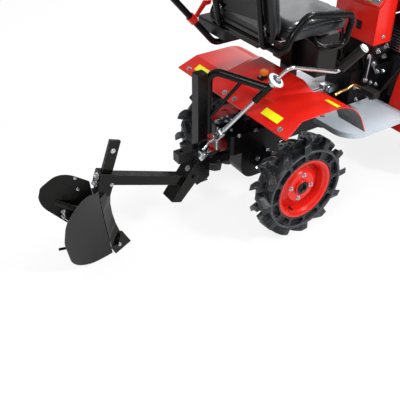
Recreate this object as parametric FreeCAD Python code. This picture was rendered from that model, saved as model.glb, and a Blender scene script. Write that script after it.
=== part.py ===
"""Articulated mini tractor with a mounted ridger, built from separate sub-parts.

Millimetres. +X points forward, +Y to the driver's left, +Z up. All sizes are set out from
the rear axle at first, and the finished parts are then moved so that the origin lies on the
floor under the middle of the machine's length. Every sub-part is written to parts/NODE.step.
"""
import FreeCAD, Part
import math
import os
from FreeCAD import Rotation, Vector

# ---------------------------------------------------------------- running gear
WHEELBASE = 960.0
TRACK = 620.0                  # between the middles of the tyres
TYRE_RADIUS = 240.0            # to the corners of the lugs
TYRE_WIDTH = 112.0
CARCASS_RADIUS = 204.0
RIM_FLANGE_RADIUS = 143.0
RIM_SEAT_RADIUS = 127.0
RIM_WIDTH = 94.0
RIM_SHEET = 5.0
RIM_WELL = 13.0                # depth of the well below the bead's seat
DISC_STEP_RADIUS = 80.0
DISC_OFFSET = 20.0             # of the wheel disc's face outwards from the tyre's middle
HUB_RADIUS = 36.0
HUB_NOSE = 12.0                # how far the hub stands out of the disc
HUB_LENGTH = 62.0
STUB_RADIUS = 20.0             # of the stub axle inside the hub
STUB_DEPTH = 38.0
RUNNING_CLEARANCE = 0.05       # on the radius of shafts and pins in their holes
LUG_COUNT = 12                 # in each of a tyre's two rows
LUG_THICKNESS = 24.0
LUG_KNEE = 0.55                # share of its sweep that a lug has at its knee
CARCASS_FACETS = 24
LUG_SWEEP = 34.0               # how far round the tyre a lug's outer end trails its inner end
LUG_OVERLAP = 5.0              # of a lug past the middle of the tread
RIB_RADIUS = 168.0             # where the sidewall is fullest
LUG_ROOT = 12.0                # how deep a lug reaches into the carcass

# ---------------------------------------------------------------- rear gear case and axle
CASE_HALF_WIDTH = 45.0
CASE_REAR = 120.0              # behind the rear axle
CASE_FRONT = 105.0
CASE_BELOW = 88.0              # under the rear axle
CASE_TOP = 430.0
CASE_CORNER = 75.0
AXLE_TUBE_RADIUS = 48.0
AXLE_FLANGE_RADIUS = 64.0
AXLE_FLANGE_THICKNESS = 12.0
AXLE_FLANGE_Y = 110.0
AXLE_NECK_RADIUS = 36.0
BOX_CLEARANCE = 10.0           # between an axle housing's end and the turning hub
PTO_HOUSING_REAR = 190.0
PTO_HOUSING_LOW = 318.0
PTO_HALF_WIDTH = 62.0
PTO_Z = 365.0
PTO_CAP_RADIUS = 38.0
PTO_CAP_LENGTH = 34.0
COVER_HEIGHT = 34.0
COVER_INSET = 14.0
PTO_HOUSING_HIGH = 414.0
FILLER_REAR = 230.0             # rear of the box with the oil filler, behind the axle
FILLER_RIGHT = 6.0
FILLER_LEFT = 58.0
FILLER_TOP = 456.0

# ---------------------------------------------------------------- articulation
PIVOT_X = 420.0
BEAM_LOW = 286.0
BEAM_HIGH = 354.0
BEAM_HALF_WIDTH = 35.0
PIVOT_EYE_RADIUS = 42.0
PIVOT_PIN_RADIUS = 16.0
YOKE_GAP = 1.0
YOKE_PLATE = 16.0
YOKE_REACH = 95.0              # from the pin to the front unit's frame
SHAFT_Z = 470.0                # the drive shaft above the pivot
SHAFT_RADIUS = 14.0
JOINT_EAR = 34.0               # universal joint: reach of its ears from the centre
JOINT_EAR_WIDTH = 26.0
JOINT_EAR_THICKNESS = 8.0
JOINT_CROSS_RADIUS = 12.0
JOINT_PIN_RADIUS = 5.0
JOINT_SPAN = 20.0              # from the centre to an ear's inner face

# ---------------------------------------------------------------- rear fender
FENDER_HALF_WIDTH = 383.0
FENDER_REAR_HALF_WIDTH = 402.0
FENDER_SHEET = 4.0
FENDER_REAR_X = -181.0
FENDER_REAR_Z = 574.0
FENDER_FOLD_X = -90.0
FENDER_TOP_Z = 620.0
ARCH_START_X = 95.0
ARCH_RADIUS = 185.0
ARCH_TURN = 64.0               # degrees from the level top to the steep front flank
ARCH_FLANK = 70.0              # length of the straight flank under the arch
WING_INNER_Y = 212.0           # inner edge of the wings at the arch
DECK_EDGE_Y = 150.0            # half width of the raised deck between the wings
DECK_FRONT_X = 118.0
DECK_RISE = 28.0

# ---------------------------------------------------------------- seat and what carries it
COLUMN_X = 135.0
COLUMN_DEPTH = 44.0
COLUMN_HALF_WIDTH = 34.0
SEAT_TUBE_RADIUS = 14.0
SEAT_FRAME_Z = 850.0
SEAT_PLATE = 10.0
CUSHION_REAR = -50.0
CUSHION_FRONT = 292.0
CUSHION_HALF_WIDTH = 222.0
CUSHION_THICKNESS = 72.0
CUSHION_CORNER = 42.0
BACK_HEIGHT = 395.0
BACK_FOOT_GAP = 14.0
BACK_THICKNESS = 62.0
BACK_LEAN = 10.0               # degrees
BACK_HALF_WIDTH = 205.0
BACK_CORNER = 50.0
HOOP_Y = 250.0
STAY_Y = 150.0                 # of the backrest's stay, from the middle
SEAT_GAP = 0.3                 # between the cushions and what carries them
REAR_CROSS_X = -100.0
FRONT_CROSS_X = 95.0
BATTERY_BOX_LENGTH = 125.0
BATTERY_BOX_HEIGHT = 190.0
BATTERY_BOX_HALF_WIDTH = 150.0
SIDE_BOX_REAR = -122.0
SIDE_BOX_DEPTH = 98.0
SIDE_BOX_Y = 104.0
SIDE_BOX_LENGTH = 230.0
SIDE_BOX_HEIGHT = 48.0
GRAB_Y = 215.0
GRAB_Z = SEAT_FRAME_Z - 108.0
LAMP_X = 8.0
LAMP_Y = -12.0
LAMP_BASE_HEIGHT = 10.0
REFLECTOR_FOOT = 32.0          # up the rear panel from its lower edge
REFLECTOR_WIDTH = 38.0
REFLECTOR_Y = 199.0
REFLECTOR_LENGTH = 110.0

# ---------------------------------------------------------------- hitch, mast and lifting crank
HITCH_X = -375.0               # the implement's pivot pin
HITCH_Z = 262.0
HITCH_PIN_RADIUS = 11.0
HITCH_EAR_RADIUS = 24.0
HITCH_BLOCK_HALF_WIDTH = 33.0
HITCH_FRONT = -290.0
MAST_SIDE = 48.0
MAST_X = -320.0
MAST_TOP = 734.0
DRAWBAR_SIDE = 46.0
DRAWBAR_TOP = 391.0
DRAWBAR_REAR = -444.0
DRAWBAR_HOLE_RADIUS = 9.0
MAST_TUBE_RADIUS = 16.0
SLEEVE_TOP = Vector(-128.0, -248.0, 746.0)
SCREW_AIM = Vector(-246.0, -52.0, 452.0)     # where the lifting screw ends
SLEEVE_LENGTH = 130.0
SLEEVE_RADIUS = 15.0
SCREW_RADIUS = 8.5
EYE_RADIUS = 14.0
EYE_HALF_LENGTH = 12.0
WASHER_RADIUS = 34.0
WASHER_THICKNESS = 5.0
CRANK_RADIUS = 8.0
CRANK_RISE = 88.0
CRANK_ARM = 300.0
GRIP_LENGTH = 134.0
GRIP_RADIUS = 19.0

# ---------------------------------------------------------------- implement
LIFT_ANGLE = 21.0              # of the boom above level, as parked
BOOM_SIDE = 45.0
BOOM_DROP = 27.0               # of the boom's axis below the pin
BOOM_START = 50.0
BOOM_LENGTH = 350.0
ARM_HALF_WIDTH = 41.0
ARM_PLATE = 7.0
ARM_SLOPE = 17.0               # degrees between the arm and a square across the boom
ARM_UP = 73.0                  # arm above the pin, square to the boom
ARM_DOWN = 128.0
ARM_DEPTH = 50.0
SHANK_U = 426.0                # middle of the shank, behind the pin
SHANK_DEPTH = 48.0
SHANK_THICKNESS = 14.0
SHANK_TOP = 143.0
CLAMP_WALL = 7.0
CLAMP_TAIL = 12.0              # of the clamp behind the shank
FROG_LOW = 350.0               # bottom of the plough body below the pin
SHARE_TIP_U = 205.0
SHARE_FOOT_U = 290.0
SHARE_HALF_WIDTH = 34.0
BOARD_TOP = 58.0               # top of the mouldboards below the pin
BOARD_LOW = 429.0
BOARD_FOOT_SPREAD = 66.0
BOARD_HOLLOW = 5.0             # how far a board's face is bowed
STAY_W = -215.0
FROG_HALF_WIDTH = 21.0         # at the frog's foot
FROG_HEAD_HALF_WIDTH = 44.0
BOARD_SHEET = 5.0
BOARD_REAR_U = 628.0
BOARD_HALF_SPREAD = 138.0

# ---------------------------------------------------------------- front unit
BOARD_Z = 400.0                # top of the footboards
FOOT_SHEET = 3.0
FRONT_FENDER_INNER = 196.0
FOOT_FLANGE = 24.0
FOOT_REAR_X = 262.0
FOOT_FRONT_X = 649.0
FOOT_INNER_Y = 92.0
FOOT_OUTER_Y = 330.0
FOOT_CORNER = 110.0
FRAME_HALF_WIDTH = 86.0
FRAME_RAIL = 10.0
FRAME_LOW = 300.0
FRAME_HIGH = 372.0
FRAME_FRONT_X = 1360.0
CONSOLE_REAR_X = 542.0
CONSOLE_FRONT_X = 655.0
CONSOLE_HALF_WIDTH = 132.0
CONSOLE_LOW = 700.0
CONSOLE_HIGH = 862.0
CONSOLE_SHEET = 4.0
DASH_RISE = 78.0
DASH_RUN = 60.0
GEARBOX_REAR_X = 484.0
PEDAL_X = 500.0
PEDAL_Y = 130.0
PEDAL_LENGTH = 116.0
PEDAL_Z = 492.0
GEARBOX_HALF_WIDTH = 84.0
GEARBOX_TOP = 560.0
SHIFT_RISE = 30.0
LEVER_Y = (14.0, 48.0)         # of the gear levers' feet
HOOD_GAP = 12.0
HOOD_FRONT_X = 1375.0
HOOD_HALF_WIDTH = 185.0
HOOD_LOW = 668.0
HOOD_HIGH = 935.0
HOOD_FRONT_DROP = 55.0
HOOD_CORNER = 46.0
HOOD_SHEET = 4.0
HINGE_Y = 66.0
HINGE_PIN_RADIUS = 4.0
GRILLE_HALF_WIDTH = 105.0
GRILLE_LOW = 690.0
GRILLE_HIGH = 850.0
GRILLE_SLATS = 7
ENGINE_REAR_X = 770.0
ENGINE_FRONT_X = 1160.0
ENGINE_HALF_WIDTH = 132.0
ENGINE_LOW = 372.0
ENGINE_HIGH = 640.0
STEERING_RADIUS = 172.0
STEERING_RIM_RADIUS = 12.0
STEERING_LEAN = 28.0
STEERING_CENTRE = Vector(462.0, 0.0, 1085.0)
BUMPER_X = 1430.0

AXLE_Z = math.sqrt(TYRE_RADIUS ** 2 - ((LUG_SWEEP + LUG_THICKNESS) / 2) ** 2)
HALF_TRACK = TRACK / 2
FOOT_LOW = BOARD_Z - FOOT_SHEET - FOOT_FLANGE
HUB_INNER_Y = HALF_TRACK + DISC_OFFSET + HUB_NOSE - HUB_LENGTH
X, Y, Z = Vector(1, 0, 0), Vector(0, 1, 0), Vector(0, 0, 1)
ORIGIN = Vector(0, 0, 0)


# ================================================================ shape helpers
def block(x_range, y_range, z_range):
    """A box between two values on each axis."""
    low = Vector(x_range[0], y_range[0], z_range[0])
    return Part.makeBox(x_range[1] - low.x, y_range[1] - low.y, z_range[1] - low.z, low)


def rod(start, end, radius):
    """A round bar from one point to another."""
    along = end - start
    return Part.makeCylinder(radius, along.Length, start, along)


def mirrored(shape):
    """The same shape on the machine's other side."""
    return shape.mirror(ORIGIN, Y)


def both_sides(shape):
    """A shape on the left together with its twin on the right."""
    return [shape, mirrored(shape)]


def fused(shapes):
    """One solid from shapes that overlap or touch."""
    result = shapes[0]
    if len(shapes) > 1:
        result = result.multiFuse(shapes[1:])
    return result.removeSplitter()


def path_edges(points, radii):
    """Straight runs through the points, with an arc of the given radius at each inner one."""
    edges = []
    start = points[0]
    for before, corner, after, radius in zip(points, points[1:], points[2:], radii):
        into = (corner - before).normalize()
        out = (after - corner).normalize()
        half_turn = into.getAngle(out) / 2
        if radius > 0 and half_turn > 1e-6:
            inwards = (out - into).normalize()
            centre = corner + inwards * (radius / math.cos(half_turn))
            first = corner - into * (radius * math.tan(half_turn))
            last = corner + out * (radius * math.tan(half_turn))
            edges.append(Part.LineSegment(start, first).toShape())
            edges.append(Part.Arc(first, centre - inwards * radius, last).toShape())
            start = last
        else:
            edges.append(Part.LineSegment(start, corner).toShape())
            start = corner
    edges.append(Part.LineSegment(start, points[-1]).toShape())
    return edges


def tube(points, radii, radius):
    """A round tube's outer form along straight runs and arcs."""
    path = Part.Wire(path_edges(points, radii))
    section = Part.Wire(Part.makeCircle(radius, points[0], points[1] - points[0]))
    return path.makePipeShell([section], True, True)


def offset_points(points, distance, normal):
    """The points of a bent line moved sideways by a distance, in the plane with this normal."""
    sides = [normal.cross((b - a).normalize()) for a, b in zip(points, points[1:])]
    moved = [points[0] + sides[0] * distance]
    for corner, one, other in zip(points[1:], sides, sides[1:]):
        middle = (one + other).normalize()
        moved.append(corner + middle * (distance / middle.dot(one)))
    moved.append(points[-1] + sides[-1] * distance)
    return moved


def bent_sheet(points, radii, thickness, normal, depth):
    """Sheet metal bent along a line: its edge outline, extruded by a depth along the normal."""
    inner_radii = []
    for before, corner, after, radius in zip(points, points[1:], points[2:], radii):
        left_turn = normal.dot((corner - before).cross(after - corner)) > 0
        inner_radii.append(max(radius - thickness, 0) if left_turn else radius + thickness)
    inner = offset_points(points, thickness, normal)
    edges = path_edges(points, radii)
    edges.append(Part.LineSegment(points[-1], inner[-1]).toShape())
    edges.extend(path_edges(inner[::-1], inner_radii[::-1]))
    edges.append(Part.LineSegment(inner[0], points[0]).toShape())
    face = Part.Face(Part.Wire(Part.__sortEdges__(edges)))
    return face.extrude(normal * depth)


def plate(points, depth):
    """A flat polygon extruded by a depth vector."""
    face = Part.Face(Part.makePolygon(points + points[:1]))
    return face.extrude(depth)


def side_plate(profile, y_low, y_high):
    """A plate standing lengthwise, from its (x, z) corners."""
    corners = [Vector(x, y_low, z) for x, z in profile]
    return plate(corners, Y * (y_high - y_low))


def turned(profile, centre_y):
    """A ring or disc from its (radius, y) outline, turned about the wheel's own axis."""
    corners = [Vector(0, centre_y + y, radius) for radius, y in profile]
    face = Part.Face(Part.makePolygon(corners + corners[:1]))
    return face.revolve(ORIGIN, Y, 360)


def softened(shape, radius):
    """A cushion's block with all its edges rounded."""
    return shape.makeFillet(radius, shape.Edges)


# ================================================================ wheels
def lug(row):
    """One lug at the bottom of the tyre, reaching from the middle of the tread over the shoulder.

    row is +1 for the outer row and -1 for the inner one. The wheel's centre is the origin.
    """
    half = LUG_THICKNESS / 2
    start = -LUG_SWEEP / 2
    knee_y = TYRE_WIDTH * 0.2 * row
    shoulder_y = TYRE_WIDTH / 2 * row
    root = -(CARCASS_RADIUS - LUG_ROOT)
    knee = start + LUG_SWEEP * LUG_KNEE
    end = start + LUG_SWEEP
    footprint = [Vector(start - half, -LUG_OVERLAP * row, root),
                 Vector(start + half, -LUG_OVERLAP * row, root),
                 Vector(knee + half, knee_y, root), Vector(end + half, shoulder_y, root),
                 Vector(end - half, shoulder_y, root), Vector(knee - half, knee_y, root)]
    return plate(footprint, Z * (-AXLE_Z - root))


def flat_sided(outline, centre_y):
    """A ring with flat facets from its (radius, y) outline, given at the facets' corners."""
    step = 2 * math.pi / CARCASS_FACETS

    def corner(index, point):
        turn = index * step
        return Vector(point[0] * math.sin(turn), centre_y + point[1], point[0] * math.cos(turn))
    faces = []
    for index in range(CARCASS_FACETS):
        for one, two in zip(outline, outline[1:] + outline[:1]):
            quad = [corner(index, one), corner(index + 1, one), corner(index + 1, two), corner(index, two)]
            faces.append(Part.Face(Part.makePolygon(quad + quad[:1])))
    solid = Part.Solid(Part.makeShell(faces))
    return solid if solid.Volume > 0 else solid.reversed()


def tyre(side):
    """A tyre with two rows of high lugs, centred on its wheel; side is +1 on the left."""
    half = TYRE_WIDTH / 2
    seat_half = RIM_WIDTH / 2 - RIM_SHEET
    bore = (RIM_SEAT_RADIUS + 0.1) / math.cos(math.pi / CARCASS_FACETS)
    bead = (RIM_FLANGE_RADIUS + 0.1) / math.cos(math.pi / CARCASS_FACETS)
    outline = [(bore, -seat_half), (bead, -seat_half), (RIB_RADIUS, -half + 7),
               (CARCASS_RADIUS - 14, -half + 8), (CARCASS_RADIUS, -half + 20), (CARCASS_RADIUS, half - 20),
               (CARCASS_RADIUS - 14, half - 8), (RIB_RADIUS, half - 7), (bead, seat_half), (bore, seat_half)]
    carcass = flat_sided(outline, 0)
    lugs = []
    pitch = 360.0 / LUG_COUNT
    for index in range(LUG_COUNT):
        for row, phase in ((1, 0.0), (-1, pitch / 2)):
            one = lug(row)
            one.rotate(ORIGIN, Y, index * pitch + phase)
            lugs.append(one)
    whole = carcass.multiFuse(lugs).removeSplitter()
    return whole if side > 0 else mirrored(whole)


def rim(side):
    """A dished steel rim with its hub, bored for the stub axle."""
    half = RIM_WIDTH / 2
    seat = RIM_SEAT_RADIUS
    lip = seat - RIM_SHEET
    well = seat - RIM_WELL
    face = DISC_OFFSET
    back = face - RIM_SHEET - 4
    nose = face + HUB_NOSE
    outline = [(seat, -half + RIM_SHEET), (RIM_FLANGE_RADIUS, -half + RIM_SHEET), (RIM_FLANGE_RADIUS, -half),
               (lip, -half), (lip, -half + 12), (well, -half + 24), (well, face - 34),
               (well - 12, face - 30), (DISC_STEP_RADIUS + 6, face - 20), (DISC_STEP_RADIUS, back),
               (HUB_RADIUS, back), (HUB_RADIUS, nose - HUB_LENGTH), (0, nose - HUB_LENGTH),
               (0, nose - 14), (HUB_RADIUS - 12, nose - 14),
               (HUB_RADIUS - 9, nose - 2), (HUB_RADIUS - 4, nose),
               (HUB_RADIUS, nose - 3), (HUB_RADIUS, face), (DISC_STEP_RADIUS - 8, face),
               (DISC_STEP_RADIUS, face - 7), (DISC_STEP_RADIUS + 8, face - 12), (well - 6, face - 20),
               (well, face - 26), (well + 3, face - 14), (lip - 5, half - 18), (lip, half - 11),
               (lip + 3, half - 7), (lip + 11, half - 1.5), (lip + 13, half),
               (RIM_FLANGE_RADIUS, half), (RIM_FLANGE_RADIUS, half - RIM_SHEET), (seat, half - RIM_SHEET)]
    solid = turned(outline, 0)
    hub_inner = DISC_OFFSET + HUB_NOSE - HUB_LENGTH
    bore = rod(Vector(0, hub_inner, 0), Vector(0, hub_inner + STUB_DEPTH, 0),
               STUB_RADIUS + RUNNING_CLEARANCE)
    solid = solid.cut(bore)
    return solid if side > 0 else mirrored(solid)


def wheel_centre(axle_x, side):
    """The middle of a wheel, on its axle."""
    return Vector(axle_x, HALF_TRACK * side, AXLE_Z)


# ================================================================ rear unit
def axle_arm(axle_x):
    """The left half of an axle: tube, bolted flange, neck and stub, reaching into the hub."""
    def at(y):
        return Vector(axle_x, y, AXLE_Z)
    neck_end = HUB_INNER_Y - BOX_CLEARANCE
    flange_end = AXLE_FLANGE_Y + AXLE_FLANGE_THICKNESS
    return [rod(at(CASE_HALF_WIDTH - 10), at(AXLE_FLANGE_Y), AXLE_TUBE_RADIUS),
            rod(at(AXLE_FLANGE_Y), at(flange_end), AXLE_FLANGE_RADIUS),
            rod(at(flange_end), at(neck_end), AXLE_NECK_RADIUS),
            rod(at(neck_end), at(HUB_INNER_Y + STUB_DEPTH - 1), STUB_RADIUS)]


def rear_gearbox():
    """Rear gear case, round at the bottom, with the power take-off housing and both axle arms."""
    case = block((-CASE_REAR, CASE_FRONT), (-CASE_HALF_WIDTH, CASE_HALF_WIDTH),
                 (AXLE_Z - CASE_BELOW, CASE_TOP))
    low_edges = [edge for edge in case.Edges
                 if edge.BoundBox.ZMax < AXLE_Z and edge.BoundBox.YLength > CASE_HALF_WIDTH]
    case = case.makeFillet(CASE_CORNER, low_edges)
    housing = block((-PTO_HOUSING_REAR, 0), (-PTO_HALF_WIDTH, PTO_HALF_WIDTH),
                    (PTO_HOUSING_LOW, PTO_HOUSING_HIGH))
    upright = [edge for edge in housing.Edges
               if edge.BoundBox.XMax < -CASE_REAR and edge.BoundBox.ZLength > 1]
    housing = housing.makeFillet(22, upright)
    cover = block((-CASE_REAR + COVER_INSET, CASE_FRONT - COVER_INSET),
                  (-CASE_HALF_WIDTH + 6, CASE_HALF_WIDTH - 6),
                  (CASE_TOP - 1, CASE_TOP + COVER_HEIGHT))
    neck = rod(Vector(-CASE_REAR, 0, PTO_Z), Vector(-PTO_HOUSING_REAR - 8, 0, PTO_Z),
               PTO_CAP_RADIUS + 8)
    filler = block((-FILLER_REAR, -CASE_REAR + 40), (FILLER_RIGHT, FILLER_LEFT),
                   (PTO_HOUSING_HIGH - 6, FILLER_TOP))
    upright = [edge for edge in filler.Edges
               if edge.BoundBox.XMax < -CASE_REAR and edge.BoundBox.ZLength > 1]
    filler = filler.makeFillet(6, upright)
    arms = axle_arm(0.0)
    return fused([case, housing, cover, neck, filler] + arms + [mirrored(piece) for piece in arms])


def pto_cap():
    """The cap over the power take-off shaft."""
    seat = Vector(-PTO_HOUSING_REAR - 8, 0, PTO_Z)
    end = seat - X * PTO_CAP_LENGTH
    dome = rod(seat, end, PTO_CAP_RADIUS)
    rim_edge = [edge for edge in dome.Edges if abs(edge.BoundBox.XMax - end.x) < 0.1]
    return dome.makeFillet(9, rim_edge)


def rear_frame():
    """Beam from the gear case to the pivot's eye, with the seat's column standing on it."""
    beam = block((CASE_FRONT, PIVOT_X), (-BEAM_HALF_WIDTH, BEAM_HALF_WIDTH), (BEAM_LOW, BEAM_HIGH))
    eye = rod(Vector(PIVOT_X, 0, BEAM_LOW), Vector(PIVOT_X, 0, BEAM_HIGH), PIVOT_EYE_RADIUS)
    column = block((COLUMN_X, COLUMN_X + COLUMN_DEPTH), (-COLUMN_HALF_WIDTH, COLUMN_HALF_WIDTH),
                   (BEAM_HIGH - 1, SEAT_FRAME_Z - SEAT_TUBE_RADIUS - SEAT_PLATE))
    gusset = side_plate([(CASE_FRONT, BEAM_HIGH - 1), (COLUMN_X + 1, BEAM_HIGH - 1),
                         (COLUMN_X + 1, CASE_TOP), (CASE_FRONT, CASE_TOP)], -12, 12)
    bore = rod(Vector(PIVOT_X, 0, BEAM_LOW - 1), Vector(PIVOT_X, 0, BEAM_HIGH + 1),
               PIVOT_PIN_RADIUS + RUNNING_CLEARANCE)
    shaft_hole = rod(Vector(COLUMN_X - 1, 0, SHAFT_Z), Vector(COLUMN_X + COLUMN_DEPTH + 1, 0, SHAFT_Z),
                     SHAFT_RADIUS + 7)
    return fused([beam, eye, column, gusset]).cut(bore).cut(shaft_hole)


def rear_shaft():
    """Drive shaft behind the universal joint, with the fork whose ears lie above and below."""
    centre = Vector(PIVOT_X, 0, SHAFT_Z)
    back = centre - X * JOINT_EAR
    bearing = block((CASE_FRONT - COVER_INSET, CASE_FRONT + 26), (-30, 30), (CASE_TOP, SHAFT_Z + 24))
    shaft = rod(Vector(CASE_FRONT, 0, SHAFT_Z), back, SHAFT_RADIUS)
    half = JOINT_EAR_WIDTH / 2
    outer = JOINT_SPAN + JOINT_EAR_THICKNESS
    root = block((back.x - 8, back.x), (-half, half), (SHAFT_Z - outer, SHAFT_Z + outer))
    ears = [block((back.x - 1, centre.x + half), (-half, half),
                  (SHAFT_Z + JOINT_SPAN * s - (JOINT_EAR_THICKNESS if s < 0 else 0),
                   SHAFT_Z + JOINT_SPAN * s + (JOINT_EAR_THICKNESS if s > 0 else 0)))
            for s in (-1, 1)]
    whole = fused([shaft, root, bearing] + ears)
    hole = rod(centre - Z * (outer + 1), centre + Z * (outer + 1), JOINT_PIN_RADIUS + RUNNING_CLEARANCE)
    return whole.cut(hole)


def fender_wing():
    """The left wing: level top, arch over the front of the wheel and a steep flank."""
    steep = math.radians(ARCH_TURN)
    corner_x = ARCH_START_X + ARCH_RADIUS * math.tan(steep / 2)
    run = ARCH_RADIUS * math.tan(steep / 2) + ARCH_FLANK
    points = [Vector(FENDER_FOLD_X, 0, FENDER_TOP_Z), Vector(corner_x, 0, FENDER_TOP_Z),
              Vector(corner_x + run * math.cos(steep), 0, FENDER_TOP_Z - run * math.sin(steep))]
    band = bent_sheet(points, [ARCH_RADIUS], FENDER_SHEET, Y, FENDER_HALF_WIDTH)
    inner_cut = plate([Vector(FENDER_FOLD_X - 1, -1, 0), Vector(FENDER_FOLD_X - 1, DECK_EDGE_Y, 0),
                       Vector(FENDER_FOLD_X, DECK_EDGE_Y, 0), Vector(DECK_FRONT_X, WING_INNER_Y, 0),
                       Vector(points[-1].x + 20, WING_INNER_Y + 12, 0),
                       Vector(points[-1].x + 20, -1, 0)], Z * (FENDER_TOP_Z + 50))
    return band.cut(inner_cut)


def sloping_panel(corners):
    """A thin panel under flat corners, as thick as the fender's sheet."""
    return plate(corners, Z * -FENDER_SHEET)


def rear_fender():
    """One pressing over both rear wheels: rear panel, raised deck in the middle and two wings."""
    deck_top = FENDER_TOP_Z + DECK_RISE
    rear_panel = plate([Vector(FENDER_REAR_X, -FENDER_REAR_HALF_WIDTH, FENDER_REAR_Z),
                        Vector(FENDER_REAR_X, FENDER_REAR_HALF_WIDTH, FENDER_REAR_Z),
                        Vector(FENDER_FOLD_X, FENDER_HALF_WIDTH, FENDER_TOP_Z),
                        Vector(FENDER_FOLD_X, -FENDER_HALF_WIDTH, FENDER_TOP_Z)],
                       Z * -(FENDER_SHEET + 2))
    deck = sloping_panel([Vector(FENDER_FOLD_X, -DECK_EDGE_Y, FENDER_TOP_Z),
                          Vector(FENDER_FOLD_X, DECK_EDGE_Y, FENDER_TOP_Z),
                          Vector(DECK_FRONT_X, DECK_EDGE_Y, deck_top),
                          Vector(DECK_FRONT_X, -DECK_EDGE_Y, deck_top)])
    slope = sloping_panel([Vector(FENDER_FOLD_X, DECK_EDGE_Y, FENDER_TOP_Z),
                           Vector(DECK_FRONT_X, WING_INNER_Y, FENDER_TOP_Z),
                           Vector(DECK_FRONT_X, DECK_EDGE_Y, deck_top)])
    return fused([rear_panel, deck] + both_sides(fender_wing()) + both_sides(slope))


def fender_stays():
    """Uprights from the gear case to the underside of the fender's deck."""
    low = PTO_HOUSING_HIGH
    stays = []
    for x in (FENDER_FOLD_X + 10, 20.0):
        rise = DECK_RISE * (x - FENDER_FOLD_X) / (DECK_FRONT_X - FENDER_FOLD_X)
        top = FENDER_TOP_Z + rise - FENDER_SHEET
        slope = DECK_RISE / (DECK_FRONT_X - FENDER_FOLD_X) * 36
        stays.append(side_plate([(x, low), (x + 36, low), (x + 36, top + slope), (x, top)],
                                CASE_HALF_WIDTH, CASE_HALF_WIDTH + 6))
    return [piece for stay in stays for piece in both_sides(stay)]


def seat_frame():
    """Cross tubes, base plate, back stay and the hoops on both sides of the cushion."""
    def side(x, z):
        return Vector(x, HOOP_Y, z)
    hoop = tube([Vector(REAR_CROSS_X, HOOP_Y - 70, SEAT_FRAME_Z), side(REAR_CROSS_X, SEAT_FRAME_Z),
                 side(-62, SEAT_FRAME_Z + 68), side(8, SEAT_FRAME_Z + 132),
                 side(258, SEAT_FRAME_Z + 90), side(222, SEAT_FRAME_Z - 30),
                 side(FRONT_CROSS_X, SEAT_FRAME_Z - 18),
                 Vector(FRONT_CROSS_X, HOOP_Y - 60, SEAT_FRAME_Z)],
                [34, 60, 52, 34, 36, 20], SEAT_TUBE_RADIUS)
    reach = HOOP_Y - 60
    rear = rod(Vector(REAR_CROSS_X, -reach, SEAT_FRAME_Z), Vector(REAR_CROSS_X, reach, SEAT_FRAME_Z),
               SEAT_TUBE_RADIUS)
    front = rod(Vector(FRONT_CROSS_X, -reach, SEAT_FRAME_Z), Vector(FRONT_CROSS_X, reach, SEAT_FRAME_Z),
                SEAT_TUBE_RADIUS)
    under = SEAT_FRAME_Z - SEAT_TUBE_RADIUS
    base = block((REAR_CROSS_X - 10, COLUMN_X + COLUMN_DEPTH + 10), (-100, 100),
                 (under - SEAT_PLATE, under + 4))
    up = back_direction()
    back = Vector(-up.z, 0, up.x)
    stay_radius = SEAT_TUBE_RADIUS - 2
    plane = back_foot() + back * (BACK_THICKNESS + SEAT_GAP + stay_radius) + Y * STAY_Y
    low = plane + up * ((SEAT_FRAME_Z - plane.z) / up.z)
    high = low + up * (BACK_HEIGHT - 60)
    flip = Vector(0, -2 * STAY_Y, 0)
    foot = Vector(REAR_CROSS_X, STAY_Y, SEAT_FRAME_Z)
    stay = tube([foot, low, high, high + flip, low + flip, foot + flip], [16, 46, 46, 16], stay_radius)
    return fused([hoop, mirrored(hoop), rear, front, base, stay])


def back_direction():
    """Direction up along the backrest."""
    lean = math.radians(BACK_LEAN)
    return Vector(-math.sin(lean), 0, math.cos(lean))


def back_foot():
    """The middle of the backrest's lower front edge."""
    return Vector(CUSHION_REAR - SEAT_GAP, 0, SEAT_FRAME_Z + SEAT_TUBE_RADIUS + SEAT_GAP)


def seat_cushion():
    """The sitting cushion, on the cross tubes."""
    low = SEAT_FRAME_Z + SEAT_TUBE_RADIUS + SEAT_GAP
    pad = block((CUSHION_REAR, CUSHION_FRONT), (-CUSHION_HALF_WIDTH, CUSHION_HALF_WIDTH),
                (low, low + CUSHION_THICKNESS))
    upright = [edge for edge in pad.Edges if edge.BoundBox.ZLength > 1]
    pad = pad.makeFillet(CUSHION_CORNER, upright)
    top = [edge for edge in pad.Edges if edge.BoundBox.ZMin > low + CUSHION_THICKNESS - 1]
    return pad.makeFillet(CUSHION_THICKNESS / 3, top)


def seat_backrest():
    """The backrest, leaning back between the hoops, just in front of its stay."""
    foot = back_foot()
    pad = block((foot.x - BACK_THICKNESS, foot.x), (-BACK_HALF_WIDTH, BACK_HALF_WIDTH),
                (foot.z + BACK_FOOT_GAP, foot.z + BACK_HEIGHT))
    across = [edge for edge in pad.Edges if edge.BoundBox.XLength > 1]
    pad = pad.makeFillet(BACK_CORNER, across)
    front = [edge for edge in pad.Edges if edge.BoundBox.XMin > foot.x - 1]
    pad = pad.makeFillet(BACK_THICKNESS / 3, front)
    pad.rotate(foot, Y, -BACK_LEAN)
    return pad


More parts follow.
